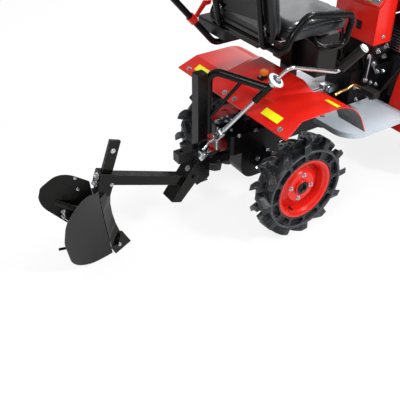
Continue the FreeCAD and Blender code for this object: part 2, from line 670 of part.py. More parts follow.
def battery_box():
    """The black boxes under the seat: one in front of the column, one behind it on the left."""
    top = SEAT_FRAME_Z - SEAT_TUBE_RADIUS - SEAT_PLATE
    front = COLUMN_X + COLUMN_DEPTH
    body = block((front, front + BATTERY_BOX_LENGTH), (-BATTERY_BOX_HALF_WIDTH, BATTERY_BOX_HALF_WIDTH),
                 (top - BATTERY_BOX_HEIGHT, top))
    under = SEAT_FRAME_Z - SEAT_TUBE_RADIUS - SEAT_GAP
    side_box = block((SIDE_BOX_REAR, SIDE_BOX_REAR + SIDE_BOX_DEPTH),
                     (SIDE_BOX_Y, SIDE_BOX_Y + SIDE_BOX_LENGTH),
                     (under - SIDE_BOX_HEIGHT, under))
    upright = [edge for edge in side_box.Edges if edge.BoundBox.ZLength > 1]
    side_box = side_box.makeFillet(24, upright)
    rims = [edge for edge in side_box.Edges if edge.BoundBox.ZLength < 1 and edge.BoundBox.ZMin > under - 1]
    return Part.makeCompound([softened(body, 12), side_box.makeFillet(8, rims)])


def grab_tube():
    """Bent tube from the seat's column out to the left and up behind the seat, with its cap."""
    y = GRAB_Y
    root = COLUMN_X + COLUMN_DEPTH / 2
    points = [Vector(root, COLUMN_HALF_WIDTH, GRAB_Z), Vector(root, y, GRAB_Z), Vector(-104, y, GRAB_Z),
              Vector(-318, y, GRAB_Z + 243)]
    return tube(points, [50, 62], SEAT_TUBE_RADIUS)


def grab_direction():
    """Direction up along the sloping run of the grab tube."""
    return Vector(-214, 0, 243).normalize()


def hook_lever():
    """The red locking lever clamped round the grab tube."""
    up = grab_direction()
    place = Vector(-104, GRAB_Y, GRAB_Z) + up * 158
    ring = rod(place, place + up * 34, SEAT_TUBE_RADIUS + 5)
    bore = rod(place - up, place + up * 35, SEAT_TUBE_RADIUS + SEAT_GAP)
    side = SEAT_TUBE_RADIUS
    low = place + up * 4
    outline = [(6, 0), (20, -6), (72, 48), (96, 50), (100, 66), (62, 70)]
    lever = plate([low + Vector(x, side, z) for x, z in outline], Y * 8)
    return fused([ring.cut(bore), lever.cut(bore)])


def amber_lenses():
    """Lens of the lamp on the deck, and the two reflectors on the rear panel."""
    along = Vector(FENDER_FOLD_X - FENDER_REAR_X, 0, FENDER_TOP_Z - FENDER_REAR_Z).normalize()
    normal = Vector(-along.z, 0, along.x)
    low = Vector(FENDER_REAR_X, 0, FENDER_REAR_Z) + along * REFLECTOR_FOOT
    corners = [low + Y * REFLECTOR_Y, low + Y * (REFLECTOR_Y + REFLECTOR_LENGTH),
               low + Y * (REFLECTOR_Y + REFLECTOR_LENGTH) + along * REFLECTOR_WIDTH,
               low + Y * REFLECTOR_Y + along * REFLECTOR_WIDTH]
    reflector = plate(corners, normal * 3)
    base = lamp_foot() + Z * LAMP_BASE_HEIGHT
    lens = block((base.x - 15, base.x + 15), (base.y - 15, base.y + 15), (base.z, base.z + 26))
    top = [edge for edge in lens.Edges if edge.BoundBox.ZMin > base.z + 1]
    return Part.makeCompound(both_sides(reflector) + [lens.makeFillet(6, top)])


def lamp_foot():
    """Where the warning lamp stands on the fender's deck."""
    rise = DECK_RISE * (LAMP_X - FENDER_FOLD_X) / (DECK_FRONT_X - FENDER_FOLD_X)
    return Vector(LAMP_X, LAMP_Y, FENDER_TOP_Z + rise + 3)


def lamp_base():
    """Bracket of the warning lamp."""
    foot = lamp_foot()
    plate_low = block((foot.x - 24, foot.x + 24), (foot.y - 19, foot.y + 19), (foot.z - 9, foot.z + 2))
    cup = rod(foot + Z * 1, foot + Z * LAMP_BASE_HEIGHT, 12)
    return fused([plate_low, cup]).cut(rear_fender())


# ================================================================ hitch and lifting crank
def hitch_mast():
    """Drawbar, hitch block, mast and the bent tube that carries the crank's sleeve."""
    half = MAST_SIDE / 2
    low = DRAWBAR_TOP - DRAWBAR_SIDE
    post = block((MAST_X - half, MAST_X + half), (-half, half), (DRAWBAR_TOP - 2, MAST_TOP))
    bar_half = DRAWBAR_SIDE / 2
    drawbar = block((DRAWBAR_REAR, HITCH_FRONT), (-bar_half, bar_half), (low, DRAWBAR_TOP))
    hole = rod(Vector(DRAWBAR_REAR + 26, 0, low - 1), Vector(DRAWBAR_REAR + 26, 0, DRAWBAR_TOP + 1),
               DRAWBAR_HOLE_RADIUS)
    drawbar = drawbar.cut(hole)
    y = HITCH_BLOCK_HALF_WIDTH
    hitch = side_plate([(HITCH_X, HITCH_Z - HITCH_EAR_RADIUS), (HITCH_X + 18, HITCH_Z - 54),
                        (HITCH_FRONT - 8, HITCH_Z - 34), (HITCH_FRONT, HITCH_Z - 26),
                        (HITCH_FRONT, low), (HITCH_FRONT - 28, low), (HITCH_FRONT - 28, HITCH_Z + 56),
                        (HITCH_X + 3, HITCH_Z + HITCH_EAR_RADIUS - 2)], -y, y)
    ear = rod(Vector(HITCH_X, -y, HITCH_Z), Vector(HITCH_X, y, HITCH_Z), HITCH_EAR_RADIUS)
    web = block((HITCH_FRONT - 2, -CASE_REAR - 30), (-bar_half, bar_half),
                (PTO_HOUSING_LOW - 24, PTO_HOUSING_LOW))
    bore = rod(Vector(HITCH_X, -y - 1, HITCH_Z), Vector(HITCH_X, y + 1, HITCH_Z),
               HITCH_PIN_RADIUS + RUNNING_CLEARANCE)
    axis = screw_axis()
    sleeve_low = SLEEVE_TOP - axis * SLEEVE_LENGTH
    sleeve = rod(sleeve_low, SLEEVE_TOP, SLEEVE_RADIUS)
    joint = SLEEVE_TOP - axis * (SLEEVE_LENGTH * 0.35)
    foot = Vector(MAST_X + half + MAST_TUBE_RADIUS - 4, -half + 12, DRAWBAR_TOP + 60)
    bend = Vector(foot.x, foot.y, MAST_TOP + 12)
    gallows = tube([foot, bend, joint], [48], MAST_TUBE_RADIUS)
    along = joint - bend
    brace = rod(Vector(foot.x - 8, foot.y, MAST_TOP - 222), bend + along * 0.58, MAST_TUBE_RADIUS / 2)
    screw_hole = rod(sleeve_low - axis, SLEEVE_TOP + axis, SCREW_RADIUS + RUNNING_CLEARANCE)
    whole = fused([post, drawbar, hitch, ear, web, sleeve, gallows, brace])
    return whole.cut(bore).cut(screw_hole)


def screw_axis():
    """Direction of the lifting screw, upwards."""
    return (SLEEVE_TOP - SCREW_AIM).normalize()


def crank_directions():
    """The crank arm's direction, forwards and square to the screw, and the screw's own."""
    axis = screw_axis()
    arm = Vector(0.88, -0.12, 0)
    arm = (arm - axis * arm.dot(axis)).normalize()
    return arm, axis


def lift_screw():
    """Screw, thrust washer and bent crank in one."""
    arm, axis = crank_directions()
    bend = SLEEVE_TOP + axis * CRANK_RISE
    grip_root = bend + arm * CRANK_ARM
    washer_top = SLEEVE_TOP + axis * (1 + WASHER_THICKNESS)
    crank = tube([washer_top - axis, bend, grip_root, grip_root + axis * (GRIP_LENGTH - 6)],
                 [26, 22], CRANK_RADIUS)
    screw = rod(SCREW_AIM, SLEEVE_TOP + axis * 2, SCREW_RADIUS)
    washer = rod(SLEEVE_TOP + axis, washer_top, WASHER_RADIUS)
    across = axis.cross(X).normalize()
    eye = rod(SCREW_AIM - across * EYE_HALF_LENGTH, SCREW_AIM + across * EYE_HALF_LENGTH, EYE_RADIUS)
    return fused([crank, screw, washer, eye])


def crank_grip():
    """The turning grip on the crank."""
    arm, axis = crank_directions()
    root = SLEEVE_TOP + axis * CRANK_RISE + arm * CRANK_ARM + axis * 24
    top = root + axis * GRIP_LENGTH
    grip = rod(root, top, GRIP_RADIUS)
    bore = rod(root - axis, root + axis * (GRIP_LENGTH - 29.5), CRANK_RADIUS)
    return grip.cut(bore)


# ================================================================ implement
def raised(shape):
    """A piece drawn with the boom level behind the pin, swung up to where it is parked."""
    shape = shape.copy()
    shape.rotate(ORIGIN, Y, LIFT_ANGLE)
    shape.translate(Vector(HITCH_X, 0, HITCH_Z))
    return shape


def behind(u, w, y=0.0):
    """A point u behind the pin and w above it, with the boom level."""
    return Vector(-u, y, w)


def lift_arm():
    """Channel that straddles the hitch block, with ears for the pin and the boom welded on."""
    slope = math.tan(math.radians(ARM_SLOPE))

    def rear(w):
        return 40.0 - slope * w
    web_outer = [behind(rear(w), w, -ARM_HALF_WIDTH) for w in (ARM_UP, -ARM_DOWN)]
    web_inner = [point + X * ARM_PLATE for point in web_outer]
    web = plate([web_outer[0], web_outer[1], web_inner[1], web_inner[0]], Y * (2 * ARM_HALF_WIDTH))
    depth = ARM_DEPTH
    profile = [behind(rear(ARM_UP), ARM_UP), behind(rear(-ARM_DOWN), -ARM_DOWN),
               behind(rear(-ARM_DOWN) - depth, -ARM_DOWN), behind(rear(0) - depth - 6, -HITCH_EAR_RADIUS),
               behind(rear(0) - depth - 6, HITCH_EAR_RADIUS), behind(rear(ARM_UP) - depth * 0.5, ARM_UP)]
    inner = ARM_HALF_WIDTH - ARM_PLATE
    flange = plate([Vector(point.x, inner, point.z) for point in profile], Y * ARM_PLATE)
    ear = rod(Vector(0, inner, 0), Vector(0, ARM_HALF_WIDTH, 0), HITCH_EAR_RADIUS)
    pin = rod(Vector(0, -ARM_HALF_WIDTH - 10, 0), Vector(0, ARM_HALF_WIDTH + 10, 0), HITCH_PIN_RADIUS)
    half = BOOM_SIDE / 2
    boom = block((-BOOM_START - BOOM_LENGTH, -rear(-BOOM_DROP) + ARM_PLATE - 2), (-half, half),
                 (-BOOM_DROP - half, -BOOM_DROP + half))
    return raised(fused([web, flange, mirrored(flange), ear, mirrored(ear), pin, boom]))


def boom_clamp():
    """The box at the boom's end that holds the shank."""
    half = BOOM_SIDE / 2
    wall = CLAMP_WALL
    u_low = SHANK_U - SHANK_DEPTH / 2 - wall
    u_high = SHANK_U + SHANK_DEPTH / 2 + CLAMP_TAIL
    collar = block((-u_high, -u_low), (-half - wall, half + wall),
                   (-BOOM_DROP - half - wall, -BOOM_DROP + half + wall))
    inside = block((-u_high + wall, 0), (-half, half), (-BOOM_DROP - half, -BOOM_DROP + half))
    return raised(collar.cut(inside).cut(shank_bar()))


def shank_bar():
    """The flat shank, from inside the frog up to its top."""
    half_u = SHANK_DEPTH / 2
    half_y = SHANK_THICKNESS / 2
    return block((-SHANK_U - half_u, -SHANK_U + half_u), (-half_y, half_y), (-FROG_LOW + 80, SHANK_TOP))


def shell_solid(triangles):
    """A closed solid from its triangles."""
    faces = [Part.Face(Part.makePolygon(list(corners) + [corners[0]])) for corners in triangles]
    solid = Part.Solid(Part.makeShell(faces))
    return solid if solid.Volume > 0 else solid.reversed()


def wedge(front, side):
    """A solid whose edge runs along front in the middle plane and whose flanks end along side."""
    far = [Vector(point.x, -point.y, point.z) for point in side]
    triangles = []
    for flank, flip in ((side, False), (far, True)):
        for index in range(len(front) - 1):
            quad = [front[index], front[index + 1], flank[index + 1], flank[index]]
            for corners in ((quad[0], quad[1], quad[2]), (quad[0], quad[2], quad[3])):
                triangles.append(corners[::-1] if flip else corners)
    for index in range(len(side) - 1):
        quad = [side[index], side[index + 1], far[index + 1], far[index]]
        triangles += [(quad[0], quad[1], quad[2]), (quad[0], quad[2], quad[3])]
    triangles += [(front[0], side[0], far[0]), (front[-1], far[-1], side[-1])]
    return shell_solid(triangles)


def plough_body():
    """Shank, wedge-shaped frog with a curved front edge, and the arrow-shaped share at its foot."""
    low = -FROG_LOW
    foot_y = FROG_HALF_WIDTH
    head_y = FROG_HEAD_HALF_WIDTH
    front = [behind(SHANK_U - 40, -74), behind(SHANK_U - 59, -148), behind(SHANK_U - 82, -198),
             behind(SHANK_U - 114, -250), behind(SHANK_U - 152, -299), behind(SHARE_TIP_U + 40, low + 14)]
    side = [behind(SHANK_U + 24, -100, head_y), behind(SHANK_U - 10, -170, head_y - 4),
            behind(SHANK_U - 38, -225, head_y - 8), behind(SHANK_U - 66, -277, head_y - 12),
            behind(SHANK_U - 92, -324, foot_y + 5), behind(SHANK_U - 116, low - 14, foot_y)]
    frog = wedge(front, side)
    share = wedge([behind(SHARE_TIP_U + 63, low + 58), behind(SHARE_TIP_U, low)],
                  [behind(SHARE_TIP_U + 75, low + 50, 15),
                   behind(SHARE_FOOT_U, low - 40, SHARE_HALF_WIDTH)])
    rear_web = plate([behind(SHANK_U - 20, -80, -9), behind(SHANK_U - 50, -190, -9),
                      behind(SHANK_U - 110, low + 10, -9), behind(SHANK_U - 70, low + 2, -9),
                      behind(SHANK_U + 20, -240, -9), behind(SHANK_U + SHANK_DEPTH / 2, -80, -9)], Y * 18)
    cap = block((-SHANK_U - SHANK_DEPTH / 2 - 4, -SHANK_U + SHANK_DEPTH / 2 + 12), (-20, 20), (-104, -62))
    holes = [rod(behind(SHANK_U, w, -20), behind(SHANK_U, w, 20), 5) for w in (136, 98, 60)]
    bar = fused([shank_bar(), frog, rear_web, cap]).cut(Part.makeCompound(holes))
    return raised(fused([bar, share]))


def mouldboard(side):
    """One wing of the ridger: close to the frog at its foot, leaning out and back towards the top."""
    rows = []
    for w, front_u, front_y, rear_y in (
            (-BOARD_TOP, SHANK_U + 46, FROG_HEAD_HALF_WIDTH + 4, BOARD_HALF_SPREAD),
            (-(BOARD_LOW + BOARD_TOP) / 2, SHANK_U - 44, FROG_HEAD_HALF_WIDTH - 9, BOARD_HALF_SPREAD - 14),
            (-BOARD_LOW, SHANK_U - 148, FROG_HALF_WIDTH + 2, BOARD_FOOT_SPREAD)):
        start = Vector(-front_u, front_y, w)
        end = Vector(-BOARD_REAR_U, rear_y, w)
        middle = (start + end) * 0.5 + Y * BOARD_HOLLOW
        shift = Vector(0.42, -0.9, 0) * BOARD_SHEET
        outer = Part.Arc(start, middle, end).toShape()
        inner = Part.Arc(start + shift, middle + shift, end + shift).toShape()
        rows.append(Part.Wire([outer, Part.LineSegment(end, end + shift).toShape(), inner,
                               Part.LineSegment(start + shift, start).toShape()]))
    sheet = Part.makeLoft(rows, True, False)
    high = -BOARD_TOP
    low = -BOARD_LOW
    outline = [behind(SHANK_U - 126, low + 41), behind(SHANK_U - 16, low + 2), behind(SHANK_U + 74, low + 9),
               behind(BOARD_REAR_U - 32, low + 160), behind(BOARD_REAR_U, high - 94),
               behind(SHANK_U + 142, high - 2),
               behind(SHANK_U + 32, high - 10)]
    bends = [150, 105, 180, 105, 85, 24]
    if side > 0:
        outline[1:4] = [behind(BOARD_REAR_U + 16, low + 215)]
        bends = [78, 85, 85, 24]
    edges = path_edges(outline + outline[:1], bends)
    keep = Part.Face(Part.Wire(edges)).extrude(Y * 300)
    board = raised(sheet.common(keep)).cut(plough_body())
    return board if side > 0 else mirrored(board)


def wing_stays():
    """The flat bars that spread the mouldboards, and the heel rod behind them."""
    w = STAY_W
    root_u = SHANK_U + 8
    stays = []
    for side in (1, -1):
        foot = behind(root_u, w, 9 * side)
        end = behind(BOARD_REAR_U - 66, w, (BOARD_HALF_SPREAD - 34) * side)
        along = (end - foot).normalize()
        across = Vector(along.y, -along.x, 0) * 3
        stays.append(plate([foot - across, end - across, end + across, foot + across], Z * 26))
    cross = block((-root_u - 70, -root_u - 44), (-36, 36), (w + 2, w + 24))
    heel = rod(behind(SHANK_U - 62, -FROG_LOW + 10, 0), behind(BOARD_REAR_U - 76, -FROG_LOW - 19, 0), 6)
    whole = fused([piece for piece in stays] + [cross])
    pieces = [raised(whole), raised(heel)]
    for cutter in (plough_body(), mouldboard(1), mouldboard(-1)):
        pieces = [piece.cut(cutter) for piece in pieces]
    pieces = [max(piece.Solids, key=lambda solid: solid.Volume) for piece in pieces]
    return Part.makeCompound(pieces)


# ================================================================ front unit
def front_frame():
    """Two rails, their cross members and the yoke that holds the articulation's pin."""
    rail = block((PIVOT_X + YOKE_REACH, FRAME_FRONT_X), (FRAME_HALF_WIDTH - FRAME_RAIL, FRAME_HALF_WIDTH),
                 (FRAME_LOW, FRAME_HIGH))
    inner = FRAME_HALF_WIDTH - FRAME_RAIL
    front = block((FRAME_FRONT_X - FRAME_RAIL, FRAME_FRONT_X), (-inner - 1, inner + 1),
                  (FRAME_LOW, FRAME_HIGH))
    low_face = BEAM_LOW - YOKE_GAP
    high_face = BEAM_HIGH + YOKE_GAP
    x = PIVOT_X + YOKE_REACH
    back = block((x, x + FRAME_RAIL + 6), (-inner - 1, inner + 1),
                 (low_face - YOKE_PLATE, high_face + YOKE_PLATE))
    plates = []
    for low, high in ((low_face - YOKE_PLATE, low_face), (high_face, high_face + YOKE_PLATE)):
        tongue = plate([Vector(PIVOT_X, -PIVOT_EYE_RADIUS, low), Vector(x + 1, -inner, low),
                        Vector(x + 1, inner, low), Vector(PIVOT_X, PIVOT_EYE_RADIUS, low)],
                       Z * (high - low))
        plates += [tongue, rod(Vector(PIVOT_X, 0, low), Vector(PIVOT_X, 0, high), PIVOT_EYE_RADIUS)]
    pin = rod(Vector(PIVOT_X, 0, low_face - YOKE_PLATE - 6), Vector(PIVOT_X, 0, high_face + YOKE_PLATE + 8),
              PIVOT_PIN_RADIUS)
    arm_y = FRAME_HALF_WIDTH - 1
    outrigger = block((FOOT_REAR_X + 120, FOOT_REAR_X + 150), (arm_y, FOOT_OUTER_Y - 40),
                      (FOOT_LOW - 26, FOOT_LOW))
    strut = block((FOOT_REAR_X + 150, PIVOT_X + YOKE_REACH + 40), (arm_y, arm_y + 30),
                  (FOOT_LOW - 26, FOOT_LOW))
    flap_foot = block((FOOT_FRONT_X - 31, FOOT_FRONT_X - 4.5), (arm_y, FOOT_OUTER_Y - 40),
                      (FOOT_LOW - 26, FOOT_LOW))
    band = front_fender_band()
    under = FENDER_TOP_Z
    stays = [front_fender_stay(ENGINE_REAR_X + 25, 20, under),
             front_fender_stay(ENGINE_FRONT_X - 30, 12, under - 8)]
    pieces = [front, back, pin] + plates
    for piece in [rail, outrigger, strut, flap_foot] + [stay.cut(band) for stay in stays]:
        pieces += both_sides(piece)
    return fused(pieces)


def front_gearbox():
    """Clutch and gear case with the tower that carries the console."""
    low = FRAME_HIGH
    case = block((GEARBOX_REAR_X, ENGINE_REAR_X), (-GEARBOX_HALF_WIDTH, GEARBOX_HALF_WIDTH),
                 (low, GEARBOX_TOP))
    belly = block((PIVOT_X + YOKE_REACH + FRAME_RAIL + 6, ENGINE_REAR_X),
                  (-FRAME_HALF_WIDTH + FRAME_RAIL, FRAME_HALF_WIDTH - FRAME_RAIL), (FRAME_LOW - 60, low + 1))
    tower = side_plate([(GEARBOX_REAR_X + 24, GEARBOX_TOP - 1), (CONSOLE_REAR_X + 8, CONSOLE_LOW),
                        (CONSOLE_FRONT_X, CONSOLE_LOW), (CONSOLE_FRONT_X, GEARBOX_TOP - 1)], -74, 74)
    shift = block((GEARBOX_REAR_X + 6, GEARBOX_REAR_X + 60), (-70, 70),
                  (GEARBOX_TOP - 1, GEARBOX_TOP + SHIFT_RISE))
    return fused([case, belly, tower, shift])


def front_shaft():
    """The universal joint's front fork and cross, on the gearbox's output shaft."""
    centre = Vector(PIVOT_X, 0, SHAFT_Z)
    half = JOINT_EAR_WIDTH / 2
    outer = JOINT_SPAN + JOINT_EAR_THICKNESS
    front = centre + X * JOINT_EAR
    root = block((front.x, front.x + 8), (-outer, outer), (SHAFT_Z - half, SHAFT_Z + half))
    ears = [block((centre.x - half, front.x + 1),
                  (JOINT_SPAN * s - (JOINT_EAR_THICKNESS if s < 0 else 0),
                   JOINT_SPAN * s + (JOINT_EAR_THICKNESS if s > 0 else 0)),
                  (SHAFT_Z - half, SHAFT_Z + half)) for s in (-1, 1)]
    ball = Part.makeSphere(JOINT_CROSS_RADIUS + 4, centre)
    across = rod(centre - Y * outer, centre + Y * outer, JOINT_PIN_RADIUS)
    upright = rod(centre - Z * outer, centre + Z * outer, JOINT_PIN_RADIUS)
    shaft = rod(front, Vector(GEARBOX_REAR_X, 0, SHAFT_Z), SHAFT_RADIUS)
    return fused([root, ball, across, upright, shaft] + ears)


def front_axle():
    """Front final drive between the rails, with both axle arms."""
    case = block((WHEELBASE - 100, WHEELBASE + 100), (-CASE_HALF_WIDTH - 12, CASE_HALF_WIDTH + 12),
                 (AXLE_Z - CASE_BELOW, FRAME_HIGH))
    low_edges = [edge for edge in case.Edges
                 if edge.BoundBox.ZMax < AXLE_Z and edge.BoundBox.YLength > CASE_HALF_WIDTH]
    case = case.makeFillet(CASE_CORNER - 5, low_edges)
    arms = axle_arm(WHEELBASE)
    hangers = [block((WHEELBASE - 40, WHEELBASE + 40), (FRAME_HALF_WIDTH - FRAME_RAIL, FRAME_HALF_WIDTH - 1),
                     (AXLE_Z, FRAME_LOW))]
    return fused([case] + arms + [mirrored(piece) for piece in arms]
                 + [one for piece in hangers for one in both_sides(piece)])


def engine():
    """Engine block between hood and frame, with finned cylinder, flywheel cover and radiator."""
    crankcase = block((ENGINE_REAR_X, ENGINE_FRONT_X - 90), (-ENGINE_HALF_WIDTH, ENGINE_HALF_WIDTH),
                      (ENGINE_LOW, ENGINE_HIGH - 60))
    head = block((ENGINE_REAR_X + 40, ENGINE_FRONT_X - 130), (-90, 90), (ENGINE_HIGH - 61, ENGINE_HIGH + 70))
    middle = (ENGINE_LOW + ENGINE_HIGH - 60) / 2
    flywheel = rod(Vector(ENGINE_FRONT_X - 140, -ENGINE_HALF_WIDTH - 36, middle),
                   Vector(ENGINE_FRONT_X - 140, -ENGINE_HALF_WIDTH + 4, middle), 88)
    radiator = block((ENGINE_FRONT_X, ENGINE_FRONT_X + 60), (-140, 140), (ENGINE_LOW, ENGINE_HIGH + 130))
    neck = rod(Vector(ENGINE_FRONT_X - 91, 0, middle), Vector(ENGINE_FRONT_X + 1, 0, middle), 60)
    return fused([crankcase, head, flywheel, radiator, neck])


def front_fender_band():
    """The left front mudguard: a lower flap, the arch over the wheel and its front end."""
    points = [Vector(640, 0, 300), Vector(700, 0, FENDER_TOP_Z), Vector(1180, 0, FENDER_TOP_Z),
              Vector(1275, 0, 425)]
    points = [point + Y * FENDER_HALF_WIDTH for point in points]
    return bent_sheet(points, [120, 150], FENDER_SHEET, -Y, FENDER_HALF_WIDTH - FRONT_FENDER_INNER)


def front_fender_stay(x, thickness, top):
    """A flat stay from the frame's rail out past the engine and up to the mudguard."""
    rail = FRAME_HALF_WIDTH - 1
    corners = [Vector(x, rail, FRAME_LOW + 5), Vector(x, rail, FRAME_HIGH - 4),
               Vector(x, ENGINE_HALF_WIDTH + 18, FRAME_HIGH - 4), Vector(x, FRONT_FENDER_INNER + 10, top),
               Vector(x, FRONT_FENDER_INNER + 54, top), Vector(x, FRONT_FENDER_INNER - 12, FRAME_LOW + 5)]
    return plate(corners, X * thickness)


def front_fenders():
    """Both front mudguards."""
    return Part.makeCompound(both_sides(front_fender_band()))


def footboards():
    """Footboards with folded edges and rounded rear corners, one on each side."""
    top = BOARD_Z
    low = FOOT_LOW

    def outline(inset, z):
        y_in = FOOT_INNER_Y + inset
        y_out = FOOT_OUTER_Y - inset
        x_rear = FOOT_REAR_X + inset
        x_front = FOOT_FRONT_X - inset
        points = [Vector(x_front, y_in, z), Vector(x_front, y_out, z), Vector(x_rear, y_out, z),
                  Vector(x_rear, y_in, z), Vector(x_front, y_in, z)]
        return Part.Face(Part.Wire(path_edges(points, [0, FOOT_CORNER - inset, 0])))
    body = outline(0, low).extrude(Z * (top - low))
    inside = outline(FOOT_SHEET, low - 1).extrude(Z * (FOOT_FLANGE + 1))
    board = body.cut(inside)
    return Part.makeCompound(both_sides(board))


def console_shape(sheet):
    """The console's outer form, or its inner one a sheet's thickness smaller."""
    profile = [(CONSOLE_REAR_X + sheet, CONSOLE_LOW - (1 if sheet else 0)),
               (CONSOLE_REAR_X + sheet, CONSOLE_HIGH - sheet * 0.5),
               (CONSOLE_REAR_X + DASH_RUN + sheet, CONSOLE_HIGH + DASH_RISE - sheet),
               (CONSOLE_FRONT_X - sheet, CONSOLE_HIGH + DASH_RISE - sheet),
               (CONSOLE_FRONT_X - sheet, CONSOLE_LOW - (1 if sheet else 0))]
    half = CONSOLE_HALF_WIDTH - sheet
    return side_plate(profile, -half, half)


def console():
    """Hollow console under the dash, open at the bottom."""
    shell = console_shape(0.0).cut(console_shape(CONSOLE_SHEET))
    floor = block((CONSOLE_REAR_X + CONSOLE_SHEET, CONSOLE_FRONT_X - CONSOLE_SHEET),
                  (-70, 70), (CONSOLE_LOW, CONSOLE_LOW + CONSOLE_SHEET))
    rails = block((CONSOLE_REAR_X + 24, CONSOLE_FRONT_X - CONSOLE_SHEET + 1),
                  (-CONSOLE_HALF_WIDTH + 1, CONSOLE_HALF_WIDTH - 1),
                  (CONSOLE_LOW, CONSOLE_LOW + CONSOLE_SHEET))
    hinge = hood_hinge()
    lugs = []
    for y in (HINGE_Y - 16, -HINGE_Y + 4):
        lugs.append(block((CONSOLE_FRONT_X, hinge.x + 6), (y, y + 12), (hinge.z - 8, hinge.z + 7)))
    pins = both_sides(rod(Vector(hinge.x, HINGE_Y - 16, hinge.z), Vector(hinge.x, HINGE_Y + 28, hinge.z),
                          HINGE_PIN_RADIUS))
    return fused([shell, floor, rails] + lugs + pins)


def hood_hinge():
    """A point on the hood's hinge line, inside its upper rear corner."""
    return Vector(CONSOLE_FRONT_X + HOOD_GAP + 11, 0, HOOD_HIGH - 14)


def dash_panel():
    """Panel on the console's slope."""
    length = math.hypot(DASH_RUN, DASH_RISE)
    angle = math.degrees(math.atan2(DASH_RISE, DASH_RUN))
    panel = block((8, length - 8), (-CONSOLE_HALF_WIDTH + 12, CONSOLE_HALF_WIDTH - 12), (0, 4))
    panel.rotate(ORIGIN, Y, -angle)
    panel.translate(Vector(CONSOLE_REAR_X, 0, CONSOLE_HIGH))
    return panel


def steering_normal():
    """Direction of the steering column, upwards and towards the driver."""
    lean = math.radians(STEERING_LEAN)
    return Vector(-math.sin(lean), 0, math.cos(lean))


def steering_column():
    """Jacket tube out of the dash, with the shaft that carries the wheel."""
    normal = steering_normal()
    foot = STEERING_CENTRE - normal * 214
    top = STEERING_CENTRE - normal * 42
    shaft = rod(top - normal * 10, STEERING_CENTRE - normal * 4, 9)
    jacket = rod(foot, top, 19)
    collar = rod(foot, foot + normal * 60, 30)
    return fused([shaft, jacket, collar]).cut(console_shape(0.0)).cut(dash_panel())


def steering_wheel():
    """Rim, three spokes and hub, bored for the column's shaft."""
    rim_ring = Part.makeTorus(STEERING_RADIUS - STEERING_RIM_RADIUS, STEERING_RIM_RADIUS)
    hub = Part.makeCylinder(30, 44, Vector(0, 0, -34))
    spokes = []
    for index in range(3):
        spoke = block((20, STEERING_RADIUS - STEERING_RIM_RADIUS), (-11, 11), (-5, 3))
        spoke.rotate(ORIGIN, Z, 60 + 120 * index)
        spokes.append(spoke)
    wheel = fused([rim_ring, hub] + spokes)
    bore = Part.makeCylinder(9 + RUNNING_CLEARANCE, 34, Vector(0, 0, -35))
    wheel = wheel.cut(bore)
    wheel.rotate(ORIGIN, Y, -STEERING_LEAN)
    wheel.translate(STEERING_CENTRE)
    return wheel


def pedals():
    """A ribbed pedal on a bent rod on each side of the gearbox."""
    y = PEDAL_Y
    pad = block((PEDAL_X, PEDAL_X + 46), (y, y + PEDAL_LENGTH), (0, 12))
    ribs = [block((PEDAL_X + 1, PEDAL_X + 45), (y + 6 + 14 * step, y + 12 + 14 * step), (11, 16))
            for step in range(8)]
    pad = fused([pad] + ribs)
    pad.rotate(Vector(PEDAL_X, 0, 0), Y, -18)
    pad.translate(Z * PEDAL_Z)
    pivot = Vector(PEDAL_X + 22, GEARBOX_HALF_WIDTH, PEDAL_Z - 8)
    shaft = rod(pivot, pivot + Y * (y + 34 - GEARBOX_HALF_WIDTH), 7)
    knee = Vector(PEDAL_X - 68, y + 20, PEDAL_Z + 46)
    stem = tube([Vector(PEDAL_X + 18, y + 20, PEDAL_Z - 4), knee, Vector(PEDAL_X - 118, y + 20, PEDAL_Z + 26),
                 Vector(PEDAL_X - 182, y + 20, PEDAL_Z + 20)], [26, 26], 5)
    whole = fused([shaft, stem, pad])
    return Part.makeCompound(both_sides(whole))


def gear_levers():
    """Two gear levers with round knobs, both left of the steering column's foot."""
    levers = []
    for y in LEVER_Y:
        foot = Vector(GEARBOX_REAR_X + 26, y, GEARBOX_TOP + SHIFT_RISE)
        top = Vector(GEARBOX_REAR_X + 2, y * 1.9, CONSOLE_LOW + 92)
        levers.append(fused([rod(foot, top, 6), Part.makeSphere(17, top)]).cut(front_gearbox()))
    return Part.makeCompound(levers)


def hood_profile(inset):
    """The hood's side view, smaller by an inset."""
    return [(CONSOLE_FRONT_X + HOOD_GAP - (1 if inset else 0), HOOD_LOW - (1 if inset else 0)),
            (CONSOLE_FRONT_X + HOOD_GAP - (1 if inset else 0), HOOD_HIGH - inset),
            (1120, HOOD_HIGH - inset),
            (HOOD_FRONT_X - inset, HOOD_HIGH - HOOD_FRONT_DROP - inset),
            (HOOD_FRONT_X - inset, HOOD_LOW - (1 if inset else 0))]


def hood_form(inset):
    """A solid hood with its long top edges rounded."""
    half = HOOD_HALF_WIDTH - inset
    solid = side_plate(hood_profile(inset), -half, half)
    top_edges = [edge for edge in solid.Edges
                 if edge.BoundBox.ZMin > HOOD_HIGH - HOOD_FRONT_DROP - inset - 1
                 and edge.BoundBox.XLength > 50]
    return solid.makeFillet(HOOD_CORNER - inset, top_edges)


